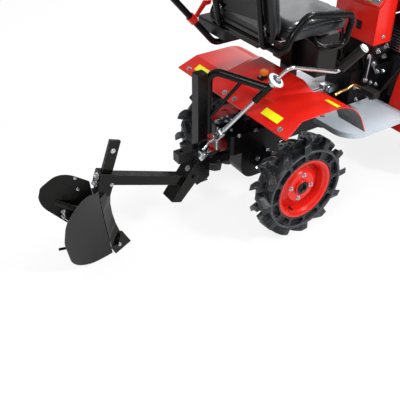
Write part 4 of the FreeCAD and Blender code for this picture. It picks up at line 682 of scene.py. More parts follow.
class Skin:
    """The outer skin of some CAD nodes, on which small fittings are seated."""

    def __init__(self, *nodes: str) -> None:
        """Gather the nodes' faces, in millimetres from the rear axle.

        Args:
            nodes: the CAD nodes' names.
        """
        spots, faces = [], []
        for node in nodes:
            start = len(spots)
            spots += DATUM.spots(node)
            faces += [tuple(start + index for index in face.vertices)
                      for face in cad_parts[node].data.polygons]
        self.tree = BVHTree.FromPolygons(spots, faces)

    def seat(self, start: Vector, heading: Vector) -> tuple[Vector, Vector] | None:
        """Where a straight line from start meets the skin, and the way out of it there.

        Args:
            start: where the line begins.
            heading: its direction, towards the skin.

        Returns:
            The spot and the skin's outward normal there, or None where the line misses.
        """
        spot, normal = self.tree.ray_cast(start, heading)[:2]
        if spot is None:
            return None
        return spot, normal if normal.dot(heading) < 0 else -normal


class Stock:
    """A mesh being worked in millimetres, which ends as one piece of the scene."""

    def __init__(self, name: str) -> None:
        """Start with nothing on the bench."""
        self.name = name
        self.mesh = bmesh.new()

    def rod(self, start: Vector, end: Vector, radius: float, tip: float | None = None, sides: int = 24,
            chamfer: float = 0.0) -> None:
        """Add a round bar, or a cone when tip differs.

        Args:
            start: middle of its first end.
            end: middle of its other end.
            radius: at start.
            tip: radius at end.
            sides: facets round it.
            chamfer: width of the bevel on its end edges.
        """
        made = bmesh.ops.create_cone(self.mesh, cap_ends=True, segments=sides, radius1=radius,
                                     radius2=radius if tip is None else tip, depth=(end - start).length,
                                     matrix=aim(start, end))
        if chamfer > 0:
            rims = [edge for edge in edges_of(made["verts"])
                    if any(len(face.verts) > 4 for face in edge.link_faces)]
            bevel(self.mesh, rims, chamfer, 1)

    def block(self, low: Vector, high: Vector, radius: float = 0.0, segments: int = 2,
              turn: Matrix | None = None) -> None:
        """Add a box between two corners, with rounded edges, turned about its middle.

        Args:
            low: its lowest corner.
            high: its highest corner.
            radius: of its rounded edges.
            segments: facets across each rounding.
            turn: its turn about its middle.
        """
        made = cube(self.mesh, (low + high) / 2, high - low, turn)
        if radius > 0:
            bevel(self.mesh, edges_of(made), radius, segments)

    def plate(self, corners: Sequence[Vector], depth: Vector, radius: float = 0.0) -> None:
        """Add a flat piece: its outline's corners, pushed along depth, with softened edges.

        Args:
            corners: of its outline, in order.
            depth: its thickness and the way it grows.
            radius: of its softened edges.
        """
        face = self.mesh.faces.new([self.mesh.verts.new(corner) for corner in corners])
        grown = bmesh.ops.extrude_face_region(self.mesh, geom=[face])["geom"]
        verts = [item for item in grown if isinstance(item, BMVert)]
        bmesh.ops.translate(self.mesh, verts=verts, vec=depth)
        if radius > 0:
            bevel(self.mesh, edges_of(verts + list(face.verts)), radius, 2)

    def turned(self, outline: Sequence[tuple[float, float]], centre: Vector, axis: Vector, steps: int = 64,
               closed: bool = False) -> None:
        """Add a body turned on a lathe.

        Args:
            outline: (radius, distance along the axis) of its profile.
            centre: where the axis starts.
            axis: its direction.
            steps: facets round it.
            closed: whether the profile's last point joins its first.
        """
        turn = axis.to_track_quat("Z", "Y").to_matrix().to_4x4()
        place = Matrix.Translation(centre) @ turn
        verts = [self.mesh.verts.new(place @ vec(radius, 0, along)) for radius, along in outline]
        pairs = list(zip(verts, verts[1:])) + ([(verts[-1], verts[0])] if closed else [])
        edges = [self.mesh.edges.new(pair) for pair in pairs]
        bmesh.ops.spin(self.mesh, geom=verts + edges, cent=centre, axis=axis, angle=math.tau, steps=steps,
                       use_merge=True)

    def tube(self, points: Sequence[Vector], radius: float, bend: float, sides: int = 16,
             loop: bool = False) -> None:
        """Add a round bar along a route, by pushing a ring from point to point.

        Args:
            points: the route's corners.
            radius: of the bar.
            bend: radius of its bends.
            sides: facets round it.
            loop: whether the route, which ends where it starts, is one closed ring.
        """
        route = rounded_route(points, bend) if bend > 0 and len(points) > 2 else list(points)
        opening = (route[1] - route[-2] if loop else route[1] - route[0]).normalized()
        place = Matrix.Translation(route[0]) @ opening.to_track_quat("Z", "Y").to_matrix().to_4x4()
        ring = bmesh.ops.create_circle(self.mesh, cap_ends=True, segments=sides, radius=radius,
                                       matrix=place)["verts"]
        first = face = next(iter(ring[0].link_faces))
        for index in range(1, len(route)):
            last = index + 1 == len(route)
            behind = (route[index] - route[index - 1]).normalized()
            if last:
                ahead = opening if loop else behind
            else:
                ahead = (route[index + 1] - route[index]).normalized()
            middle = ahead if last else (behind + ahead).normalized()
            grown = bmesh.ops.extrude_face_region(self.mesh, geom=[face], use_keep_orig=index == 1)["geom"]
            face = next(item for item in grown if isinstance(item, BMFace))
            verts = list(face.verts)
            bmesh.ops.translate(self.mesh, verts=verts, vec=route[index] - route[index - 1])
            normal = self._normal(verts)
            if normal.dot(middle) < 0:
                normal.negate()
            turn = normal.rotation_difference(middle).to_matrix()
            bmesh.ops.rotate(self.mesh, verts=verts, cent=route[index], matrix=turn)
        if loop:
            bmesh.ops.delete(self.mesh, geom=[first, face], context="FACES_ONLY")

    @staticmethod
    def _normal(verts: Sequence[BMVert]) -> Vector:
        """Normal of the plane that a ring of points lies in.

        Args:
            verts: the ring, in order.

        Returns:
            The normal, on either side.
        """
        count = len(verts)
        centre = sum((vert.co for vert in verts), Vector()) / count
        return (verts[0].co - centre).cross(verts[count // 4].co - centre).normalized()

    def bolt(self, seat: Vector, axis: Vector, across: float = 17.0, washer: bool = True, thread: float = 0.0,
             height: float = 0.62) -> None:
        """Add a hexagon head or nut on a washer.

        Args:
            seat: where it sits on the surface.
            axis: out of the surface.
            across: width across the flats.
            washer: whether a washer lies under it.
            thread: how far the bolt's end stands out of it.
            height: of the head, as a share of its width.
        """
        out = axis.normalized()
        base = seat
        if washer:
            self.rod(seat - out * 0.5, seat + out * across * 0.12, across * 0.98, sides=28,
                     chamfer=across * 0.03)
            base = seat + out * across * 0.12
        crown = base + out * across * height
        self.rod(base, crown, across / math.sqrt(3), sides=6, chamfer=across * 0.07)
        if thread > 0:
            self.rod(crown - out, crown + out * thread, across * 0.31, sides=16, chamfer=across * 0.05)

    def bolt_on(self, skin: Skin, start: Vector, heading: Vector, **sizes: float) -> None:
        """Add a bolt where a line from start meets a skin, square to it.

        Args:
            skin: what it is seated on.
            start: where the line begins.
            heading: the line's direction.
            sizes: as for a bolt.
        """
        seat = skin.seat(start, heading)
        if seat is not None:
            self.bolt(*seat, **sizes)

    def bolt_sides(self, *seats: tuple[float, float, float], **sizes: float) -> None:
        """Add bolts that stand out sideways, at these seats on the left and mirrored to the right.

        Args:
            seats: where each sits, with y positive.
            sizes: as for a bolt.
        """
        for out, spots in flanks(*seats):
            for spot in spots:
                self.bolt(spot, out, **sizes)

    def piece(self, finish: Finish, body: Body, slot: Slot = Slot.STEEL, replaces: Sequence[str] = (),
              smooth: float = 38.0) -> None:
        """End the work: clean the mesh, bring it to metres and let it ride.

        Args:
            finish: what it is coated with or made of.
            body: the body that it moves with.
            slot: the record's slot for its finish; not used.
            replaces: the CAD nodes that it stands for.
            smooth: edges flatter than this angle, in degrees, are shaded smooth.
        """
        bmesh.ops.remove_doubles(self.mesh, verts=self.mesh.verts, dist=0.01)
        bmesh.ops.dissolve_degenerate(self.mesh, edges=self.mesh.edges, dist=0.005)
        bmesh.ops.recalc_face_normals(self.mesh, faces=self.mesh.faces)
        bmesh.ops.transform(self.mesh, matrix=DATUM.matrix(), verts=self.mesh.verts)
        data = to_data(self.mesh, self.name)
        dress(stand(self.name, data), finish, body, replaces)
        data.set_sharp_from_angle(angle=math.radians(smooth))
        LOG.info("%s: %d faces", self.name, len(data.polygons))


# ============================================================ wheels

@dataclass
class Wheel:
    """One wheel: its lugged tyre, wheel bolts, hub cap and valve."""

    end: str
    side: int
    axle_x: float
    half_track: float = 310.0
    axle_z: float = 238.2
    lug_count: int = 12
    crown: float = 205.0
    tip: float = 239.5
    bolt_circle: float = 59.0
    rib_shift: float = 17.0

    @property
    def name(self) -> str:
        """Which wheel this is."""
        return f"{self.end}_{'left' if self.side > 0 else 'right'}"

    @property
    def body(self) -> Body:
        """The body that it rolls with."""
        return Body(f"wheel_{self.name}")

    def at(self, stock: Stock) -> None:
        """Mirror a right-hand wheel, then carry it from the origin to its axle."""
        place = Matrix.Translation((self.axle_x, self.side * self.half_track, self.axle_z))
        bmesh.ops.transform(stock.mesh, matrix=place @ Matrix.Diagonal((1, self.side, 1, 1)),
                            verts=stock.mesh.verts)

    def carcass(self, stock: Stock) -> None:
        """Turn the carcass: beads, deep sidewalls, shoulder ridges and a rounded crown.

        Args:
            stock: the tyre being built.
        """
        half = [(127.6, 41.5), (143.4, 42.5), (145, 48), (149, 50.5), (151.5, 49), (153, 33), (183, 33),
                (185.5, 49), (188, 53.5), (195, 55), (199, 50), (202.5, 38), (204.5, 22), (205, 0)]
        outline = half + [(radius, -along) for radius, along in half[-2::-1]]
        stock.turned(outline, Vector(), Y, steps=120, closed=True)

    def wrap(self, verts: Iterable[BMVert]) -> None:
        """Bend what was shaped flat round the bottom of the tyre: x runs round it and z out of it.

        Args:
            verts: the points to bend.
        """
        for vert in verts:
            turn, reach = vert.co.x / self.crown, vert.co.z
            vert.co.x, vert.co.z = reach * math.sin(turn), -reach * math.cos(turn)

    def lug(self, row: int) -> BMesh:
        """Shape one lug, from the middle of the tread over the shoulder and down to the ridge.

        Args:
            row: 1 or -1, the half of the tread it is on.

        Returns:
            The lug, still flat.
        """
        lump = bmesh.new()
        foot, reach = 200.0, self.tip
        stations = [(-19.0, -7.0, 33, 25, reach), (-18, 6, 34, 26, reach), (-14, 18, 34, 26, reach),
                    (-5, 30, 34, 28, reach), (8, 42, 34, 28, reach - 1), (17, 51, 34, 28, reach - 3),
                    (20, 56, 33, 26, reach - 7)]
        face = None
        for shift, across, base, top, high in stations:
            low = foot if face is None or across < 50 else foot - 6
            corners = [(shift - base / 2, low), (shift + base / 2, low), (shift + top / 2, high),
                       (shift - top / 2, high)]
            if face is None:
                face = lump.faces.new([lump.verts.new((x, across * row, z)) for x, z in corners])
                continue
            order = [tuple(vert.co) for vert in face.verts]
            grown = bmesh.ops.extrude_face_region(lump, geom=[face])["geom"]
            fresh = next(item for item in grown if isinstance(item, BMFace))
            for vert in fresh.verts:
                rank = min(range(4), key=lambda index: (vert.co - Vector(order[index])).length)
                vert.co = vec(corners[rank][0], across * row, corners[rank][1])
            face = fresh
        ridge = [edge for edge in lump.edges if min(vert.co.z for vert in edge.verts) > foot + 20]
        bevel(lump, ridge, 2.6, 2)
        return lump

    def rib(self, row: int) -> BMesh:
        """Shape one rib across the sidewall, waisted so that the pockets beside it have round corners.

        Args:
            row: 1 or -1, the side of the tyre it is on.

        Returns:
            The rib, still flat.
        """
        lump = bmesh.new()
        shift, middle, half = self.rib_shift, 168.0, 18.0
        cube(lump, vec(shift, 41.5 * row, middle), (18, 19, 2 * half))
        bmesh.ops.subdivide_edges(lump, edges=upright_edges(lump, half), cuts=5, use_grid_fill=True)
        for vert in lump.verts:
            flare = abs(vert.co.z - middle) / half
            vert.co.x += math.copysign(15.0 * flare ** 2.6, vert.co.x - shift)
            vert.co.y -= row * 1.2 * (1 - flare ** 2)
        rim = [edge for edge in lump.edges if len(edge.link_faces) == 2 and edge.calc_face_angle() > 1.2
               and min(abs(vert.co.y) for vert in edge.verts) > 45]
        bevel(lump, rim, 2.0, 2)
        return lump

    def around(self, stock: Stock, lump: BMesh, phase: float) -> None:
        """Wrap a flat lump round the tyre and repeat it, once for every lug.

        Args:
            stock: the tyre being built.
            lump: the flat shape, which is freed.
            phase: angle of the first one, in radians.
        """
        count = self.lug_count
        self.wrap(lump.verts)
        shape = to_data(lump, "lump")
        before = set(stock.mesh.verts)
        stock.mesh.from_mesh(shape)
        bpy.data.meshes.remove(shape)
        fresh = [vert for vert in stock.mesh.verts if vert not in before]
        bmesh.ops.rotate(stock.mesh, verts=fresh, cent=Vector(), matrix=Matrix.Rotation(phase, 3, "Y"))
        faces = list(dict.fromkeys(face for vert in fresh for face in vert.link_faces))
        bmesh.ops.spin(stock.mesh, geom=fresh + edges_of(fresh) + faces, cent=Vector(), axis=Y,
                       use_duplicate=True, angle=math.tau * (count - 1) / count, steps=count - 1)

    def tyre(self) -> None:
        """Build the tyre and let it stand for the CAD one."""
        stock = Stock(f"tyre_detail_{self.name}")
        self.carcass(stock)
        pitch = math.tau / self.lug_count
        for row, phase in ((1, 0.0), (-1, pitch / 2)):
            self.around(stock, self.lug(row), phase)
            self.around(stock, self.rib(row), phase)
        self.at(stock)
        stock.piece(Paints.TYRE, self.body, Slot.RUBBER, [f"tyre_{self.name}"], smooth=32)
        ring = Stock(f"shoulder_ring_{self.name}")
        for row in (1, -1):
            ring.turned([(186.5, 52), (188.5, 54.2), (191.5, 55.6), (195, 55.8), (197.5, 53.6), (196, 51)],
                        Vector(), Y * row, steps=120, closed=True)
        self.at(ring)
        # the ring's lighter grey is a painted highlight
        ring.piece(Paints.RING_SHEEN, self.body, Slot.RUBBER)

    def hardware(self) -> None:
        """Wheel bolts, hub cap and valve."""
        nuts = Stock(f"wheel_bolts_{self.name}")
        for index in range(4):
            seat = clock(math.radians(-10 + 90 * index)) * self.bolt_circle + Y * 20
            nuts.bolt(seat, Y, across=11.5, thread=2)
        self.at(nuts)
        nuts.piece(Paints.ZINC, self.body)
        cap = Stock(f"hub_cap_{self.name}")
        cap.turned([(0, 21), (15, 21), (16.5, 23), (17.5, 32), (20, 34.5), (29, 34), (32, 31.5), (33.5, 26),
                    (34, 20.5)], Vector(), Y, steps=48)
        cap.rod(vec(0, 19, 0), vec(0, 25, 0), 9, sides=6, chamfer=1)
        self.at(cap)
        cap.piece(Paints.PLASTIC, self.body, Slot.PLASTIC)
        valve = Stock(f"valve_{self.name}")
        foot = vec(-62, 22, -86)
        valve.rod(foot, foot + vec(0, 14, 0), 5, sides=16, chamfer=1)
        valve.rod(foot + vec(0, 12, 0), foot + vec(0, 26, 0), 3.4, sides=16, chamfer=0.8)
        self.at(valve)
        valve.piece(Paints.GRIP, self.body, Slot.PLASTIC)

    def build(self) -> None:
        """Build the whole wheel."""
        self.tyre()
        self.hardware()


# ============================================================ the CAD nodes' finishes

@dataclass
class Coat:
    """Gives every CAD node its finish: the tyres rubber, and what is not named here red enamel."""

    nodes: tuple[tuple[Finish, str], ...] = (
        (Paints.CASE, "rear_gearbox front_gearbox front_axle"),
        (Paints.CAP_SHADED, "pto_cap"),
        (Paints.BLACK, "rear_frame fender_brackets seat_frame hitch_mast grab_tube"),
        (Paints.BLACK, "front_frame steering_column gear_levers bumper"),
        (Paints.ZINC, "rear_shaft front_shaft"),
        (Paints.MUDGUARD_SHADED, "rear_fender front_fenders"),
        (Paints.PLASTIC, "battery_box lamp_base grille steering_wheel"),
        (Paints.CHROME, "lift_screw"),
        (Paints.GRIP, "crank_grip"),
        (Paints.AMBER, "amber_lenses"),
        (Paints.TOOL, "lift_arm boom_clamp plough_body mouldboards wing_stays"),
        (Paints.IRON, "engine exhaust"),
        (Paints.GREY, "footboards"),
        (Paints.PANEL, "dash_panel"),
        (Paints.GOLD, "pedals"),
        (Paints.LAMP, "headlamps"),
        (Paints.SEAT, "seat_pads"),
    )

    def apply(self) -> None:
        """Put each node's finish in its material slots."""
        table = {name: finish for finish, names in self.nodes for name in names.split()}
        for name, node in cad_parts.items():
            finish = table.get(name, Paints.TYRE if name.startswith("tyre_") else Paints.RED)
            node.data.materials.clear()
            node.data.materials.append(Paints.get(finish))
            LOG.info("%s wears %s", name, finish.name)


# ============================================================ fasteners and small fittings

@dataclass(frozen=True)
class Panel:
    """A flat panel that rises forwards, from the middle of its foot."""

    foot: Vector
    rise: Vector

    @property
    def out(self) -> Vector:
        """The direction out of it."""
        return vec(-self.rise.z, 0, self.rise.x).normalized()

    def at(self, up: float, y: float, off: float = 0.0) -> Vector:
        """A point up the panel, across it and off it."""
        return self.foot + self.rise.normalized() * up + Y * y + self.out * off


@dataclass
class RearFittings:
    """Bolts, reflectors, marker lamp and small plated pieces on the rear unit."""

    panel: Panel = field(default_factory=lambda: Panel(vec(-181, 0, 574), vec(91, 0, 46)))

    def bolts(self) -> None:
        """Zinc bolts on the fender's panel and brackets, and on the gearbox's top and rear."""
        stock = Stock("rear_bolts")
        for y in (-338, -29, 43, 338):
            stock.bolt(self.panel.at(22, y), self.panel.out, across=13)
        case = Skin("rear_gearbox")
        for x in (-150, -60, 20, 84):
            for y in (-60, 0, 60):
                stock.bolt_on(case, vec(x, y, 600), -Z, across=13)
        for z in (210, 260, 330, 380):
            for y in (-66, 66):
                stock.bolt_on(case, vec(-420, y, z), X, across=13)
        brackets = Skin("fender_brackets")
        for x in (-62, 38):
            for side in SIDES:
                stock.bolt_on(brackets, vec(x, side * 120, 560), -Y * side, across=13, thread=4)
        stock.piece(Paints.ZINC, Body.REAR)

    def filler(self) -> None:
        """The oil filler's plug, knurled round its rim, and the screws of the cover beside it."""
        stock = Stock("oil_filler_plug")
        foot = vec(-204, 33, 455.5)
        stock.turned([(0, 9), (9, 9), (11, 7.5), (12.5, 7), (13, 2), (15, 1.5), (15.5, 0)], foot, Z, steps=40)
        for index in range(14):
            turn = math.tau * index / 14
            knurl = foot + vec(math.cos(turn) * 12.6, math.sin(turn) * 12.6, 0)
            stock.rod(knurl + Z * 1.5, knurl + Z * 7, 1.3, sides=8)
        for x in (-168, -140):
            for y in (16, 48):
                stock.bolt(vec(x, y, 456), Z, across=10, height=0.5)
        stock.piece(Paints.ZINC, Body.REAR)

    def reflectors(self) -> None:
        """Two plates of yellow tape on the fender's panel, square cut, and a strip of it on a wing."""
        stock = Stock("reflex_plates")
        outline = ((33, 200), (33, 308), (69, 308), (69, 200))
        for side in SIDES:
            stock.plate([self.panel.at(up, side * y, 1.2) for up, y in outline], self.panel.out * 2.4, 0.7)
        stock.piece(Paints.REFLEX, Body.REAR, Slot.AMBER, ["amber_lenses"])
        strip = Stock("reflex_strip")
        top = DATUM.millimetres("rear_fender")[1].z + 61
        skin = Skin("rear_fender")
        outline = ((104, -300), (124, -300), (124, -374), (104, -374))
        seats = [skin.seat(vec(x, y, top), -Z) for x, y in outline]
        strip.plate([seat[0] + Z * 0.4 for seat in seats], Z * 1.4, 0.5)
        strip.piece(Paints.REFLEX, Body.REAR, Slot.AMBER)

    def marker_lamp(self) -> None:
        """An orange lens with flutes along its top, and the screws of its dark foot."""
        stock = Stock("marker_lens")
        stock.block(vec(-6.5, -26.5, 646.4), vec(22.5, 2.5, 668), 3.2, 3)
        for step in range(5):
            y = -23.5 + 5.8 * step
            stock.rod(vec(-4, y, 667.4), vec(20, y, 667.4), 2.4, sides=12, chamfer=0.8)
        stock.piece(Paints.AMBER, Body.REAR, Slot.AMBER, ["amber_lenses"])
        foot = Stock("marker_foot_screws")
        for x, y in ((-12, -12), (28, -12)):
            foot.bolt(vec(x, y, 646), Z, across=6, height=0.45)
        foot.piece(Paints.ZINC, Body.REAR)

    def axle_ends(self) -> None:
        """Bright seal rings and flange bolts on the axle trumpets."""
        rings = Stock("axle_rings")
        for side in SIDES:
            rings.turned([(34, 0), (41, 0), (42.5, 2), (42.5, 10), (40, 12), (34, 12)],
                         vec(0, side * 205, 240), Y * side, steps=48, closed=True)
            for index in range(6):
                spot = clock(math.radians(30 + 60 * index)) * 62 + vec(0, side * 124, 240)
                rings.bolt(spot, Y * side, across=12)
        rings.piece(Paints.ZINC, Body.REAR)

    def welds(self) -> None:
        """Weld beads round the mast's foot."""
        stock = Stock("mast_welds")
        middle, half, beads = vec(-320, 0, DATUM.millimetres("hitch_mast")[0].z + 3), 24, 9
        corners = [middle + vec(x, y, 0) * half for x, y in ((-1, -1), (1, -1), (1, 1), (-1, 1), (-1, -1))]
        for start, end in zip(corners, corners[1:]):
            reach = (end - start).normalized() * 3.6
            for step in range(beads):
                spot = start.lerp(end, (step + 0.5) / beads)
                stock.rod(spot - reach, spot + reach, 3.4, tip=2.2, sides=10)
        stock.piece(Paints.BLACK, Body.REAR, Slot.BLACK)

    def build(self) -> None:
        """Build them all."""
        for make in (self.bolts, self.filler, self.reflectors, self.marker_lamp, self.axle_ends, self.welds):
            make()


# ============================================================ seat

@dataclass
class Seat:
    """A cushion and a backrest: foam under leathercloth, with a welt round each and a pressed rear shell."""

    cushion_low: Vector = point(-50, -222, 864.3)
    cushion_high: Vector = point(292, 222, 936.3)
    back_height: float = 395.0
    back_half_width: float = 205.0
    back_thickness: float = 62.0
    shell_thickness: float = 15.0
    lean: float = 10.0
    voxel: float = 5.5
    cap: float = 7.0
    cushion_seam: float = 44.0
    back_seam: float = 22.0
    last_frame: int = 20

    def back_place(self) -> Matrix:
        """The backrest's own frame: X across, Y up it, Z out of its rear, from the middle of its foot.

        Returns:
            The change from that frame to the machine's, in millimetres.
        """
        turn = math.radians(self.lean)
        up, back = vec(-math.sin(turn), 0, math.cos(turn)), vec(-math.cos(turn), 0, -math.sin(turn))
        across = up.cross(back)
        foot = vec(self.cushion_low.x - 0.3, 0, self.cushion_low.z) + up * 14
        return Matrix.Translation(foot) @ Matrix((across, up, back)).transposed().to_4x4()

    @staticmethod
    def foam(low: Vector, high: Vector, corner: float) -> BMesh:
        """Shape a pad before it is blown up: rounded corners and softened rims.

        Args:
            low: its lowest corner.
            high: its highest corner.
            corner: radius of its upright edges.

        Returns:
            The pad's mesh.
        """
        mesh = bmesh.new()
        size = high - low
        cube(mesh, (low + high) / 2, size)
        bevel(mesh, upright_edges(mesh, size.z / 2), corner, 8)
        for level, radius in ((high.z, size.z * 0.34), (low.z, size.z * 0.16)):
            rim = [edge for edge in mesh.edges if all(abs(vert.co.z - level) < 0.01 for vert in edge.verts)
                   and edge.calc_face_angle(0) > 1]
            bevel(mesh, rim, radius, 5)
        LOG.info("foam %.0f x %.0f x %.0f mm", *size)
        return mesh

    def blow_up(self, name: str, mesh: BMesh, place: Matrix) -> Thing:
        """Cover the foam in cloth, blow it up by no more than cap and keep the result.

        Args:
            name: the piece's name.
            mesh: the foam's shape, in its own millimetres.
            place: where that stands on the machine, in millimetres.

        Returns:
            The finished pad, at the origin.
        """
        bmesh.ops.transform(mesh, matrix=DATUM.matrix() @ place, verts=mesh.verts)
        bmesh.ops.recalc_face_normals(mesh, faces=mesh.faces)
        pad = stand(name, to_data(mesh, name))
        even = pad.modifiers.new("even", "REMESH")
        even.mode, even.voxel_size = "VOXEL", self.voxel * MM
        self.keep(pad)
        rest = [vert.co.copy() for vert in pad.data.vertices]
        cloth = pad.modifiers.new("cover", "CLOTH")
        cloth.settings.use_pressure = True
        cloth.settings.uniform_pressure_force = 4.0
        cloth.settings.effector_weights.gravity = 0.0
        cloth.settings.tension_stiffness = cloth.settings.compression_stiffness = 12.0
        cloth.settings.bending_stiffness = 1.5
        cloth.point_cache.frame_start, cloth.point_cache.frame_end = 1, self.last_frame
        for step in range(1, self.last_frame + 1):
            bpy.context.scene.frame_set(step)
        self.keep(pad)
        bpy.context.scene.frame_set(1)
        for vert, start in zip(pad.data.vertices, rest):
            move = vert.co - start
            if move.length > self.cap * MM:
                vert.co = start + move.normalized() * self.cap * MM
        return pad

    @staticmethod
    def keep(pad: Thing) -> None:
        """Apply a pad's modifiers.

        Args:
            pad: the pad, whose mesh is replaced.
        """
        shape = bpy.data.meshes.new_from_object(pad.evaluated_get(bpy.context.evaluated_depsgraph_get()))
        pad.modifiers.clear()
        old, pad.data = pad.data, shape
        bpy.data.meshes.remove(old)

    def stitch(self, pad: Thing, place: Matrix, level: float, depth: float, width: float) -> None:
        """Draw the cover in along a seam that runs round the pad at one level of its thickness.

        Args:
            pad: the pad.
            place: its own frame.
            level: of the seam in that frame.
            depth: how far it draws in.
            width: how far the pull spreads on either side.
        """
        back = (DATUM.matrix() @ place).inverted()
        smooth = bmesh.new()
        smooth.from_mesh(pad.data)
        bmesh.ops.smooth_vert(smooth, verts=smooth.verts, factor=0.5, use_axis_x=True, use_axis_y=True,
                              use_axis_z=True)
        smooth.normal_update()
        for vert in smooth.verts:
            spot = back @ vert.co
            pull = depth * math.exp(-((spot.z - level) / width) ** 2)
            vert.co = vert.co - vert.normal * pull * MM
        smooth.to_mesh(pad.data)
        smooth.free()
        LOG.info("%s stitched %.1f mm deep", pad.name, depth)

    def finish(self, pad: Thing, fill: float) -> None:
        """One subdivision, the leathercloth, and a place on the rear unit.

        Args:
            pad: the pad.
            fill: how firmly it is filled, from 0 to 1; not used.
        """
        finer = pad.modifiers.new("finer", "SUBSURF")
        finer.levels = finer.render_levels = 1
        self.keep(pad)
        dress(pad, Paints.SEAT, Body.REAR, ["seat_pads"])

    def welt(self, name: str, pad: Thing, place: Matrix, level: float, radius: float) -> None:
        """Lay a welt round the pad, on its surface, at one level.

        Args:
            name: of the piece.
            pad: what it runs round.
            place: the pad's own frame.
            level: of the welt in that frame.
            radius: of the welt.
        """
        corners = pad.data.vertices
        tree = BVHTree.FromPolygons([vert.co for vert in corners], [tuple(face.vertices)
                                                                    for face in pad.data.polygons])
        onward, back = DATUM.matrix() @ place, DATUM.matrix().inverted()
        middle = sum((onward.inverted() @ vert.co for vert in corners), Vector()) / len(corners)
        middle.z = level
        route, count = [], 120
        for step in range(count):
            turn = math.tau * step / count
            start = onward @ (middle + vec(math.cos(turn), math.sin(turn), 0) * 600)
            hit = tree.ray_cast(start, ((onward @ middle) - start).normalized())[0]
            if hit is not None:
                route.append(back @ hit)
        stock = Stock(name)
        stock.tube(route + [route[0]], radius, 0.0, sides=10, loop=True)
        stock.piece(Paints.PIPING, Body.REAR, Slot.VINYL)

    def shell(self) -> None:
        """The backrest's pressed rear shell, with a rolled rim, and its screws."""
        place, rear, deep = self.back_place(), self.back_thickness, self.shell_thickness
        half, height = self.back_half_width - 1.5, self.back_height
        stock = Stock("backrest_shell")
        cube(stock.mesh, vec(0, height / 2, rear - deep / 2 - 0.5), (2 * half, height - 3, deep - 1))
        bevel(stock.mesh, upright_edges(stock.mesh, 5), 50, 10)
        back_face = max(stock.mesh.faces, key=lambda face: (round(face.calc_center_median().z),
                                                            face.calc_area()))
        for border, depth in ((16, 0), (7, -5), (60, 0), (8, 3.5)):
            bmesh.ops.inset_region(stock.mesh, faces=[back_face], thickness=border, depth=depth)
        sharp = [edge for edge in stock.mesh.edges if len(edge.link_faces) == 2
                 and edge.calc_face_angle() > 0.9]
        bevel(stock.mesh, sharp, 2.2, 2)
        bmesh.ops.transform(stock.mesh, matrix=place, verts=stock.mesh.verts)
        stock.piece(Paints.PLASTIC, Body.REAR, Slot.PLASTIC, smooth=34)
        screws = Stock("backrest_screws")
        out = (place.to_3x3() @ Z).normalized()
        for x in (-150, 150):
            for up in (60, 330):
                screws.bolt(place @ vec(x, up, rear - 4.5), out, across=10)
        screws.piece(Paints.ZINC, Body.REAR)

    def runners(self) -> None:
        """The slide rails under the cushion and their latch."""
        stock = Stock("seat_runners")
        for y in (-118, 118):
            stock.block(vec(-20, y - 16, 842), vec(262, y + 16, 848), 1.5, 2)
            stock.block(vec(-10, y - 11, 848.5), vec(252, y + 11, 863), 2.5, 2)
        stock.tube([vec(262, -118, 853), vec(282, -96, 845), vec(286, 96, 845), vec(262, 118, 853)], 5, 14)
        stock.piece(Paints.ZINC, Body.REAR)

    def build(self) -> None:
        """Build the cushion, the backrest and what holds them."""
        cap, level_place = self.cap, Matrix.Identity(4)
        inset = vec(cap - 1, cap - 1, 1.0)
        foam = self.foam(self.cushion_low + inset, self.cushion_high - inset - Z * 3, 42)
        cushion = self.blow_up("seat_cushion", foam, level_place)
        seam = self.cushion_low.z + self.cushion_seam
        self.stitch(cushion, level_place, seam, 2.6, 5.5)
        self.finish(cushion, 0.8)
        self.welt("cushion_welt", cushion, level_place, seam, 2.6)
        place = self.back_place()
        half = self.back_half_width - cap + 1
        low = vec(-half, cap, cap * 0.5)
        high = vec(half, self.back_height - cap, self.back_thickness - self.shell_thickness + 2)
        flip = place @ Matrix.Translation((0, 0, low.z + high.z)) @ Matrix.Diagonal((1, 1, -1, 1))
        backrest = self.blow_up("seat_backrest", self.foam(low, high, 50), flip)
        self.stitch(backrest, place, self.back_seam, 2.4, 6)
        self.finish(backrest, 0.75)
        self.welt("backrest_welt", backrest, place, self.back_seam, 2.6)
        self.shell()
        self.runners()


# ============================================================ lifting crank and its coupling

@dataclass
class LiftScrew:
    """Where the screw that lifts the implement runs."""

    sleeve_top: Vector = point(-128, -248, 746)
    screw_end: Vector = point(-246, -52, 452)

    @property
    def axis(self) -> Vector:
        """The direction up the screw."""
        return (self.sleeve_top - self.screw_end).normalized()


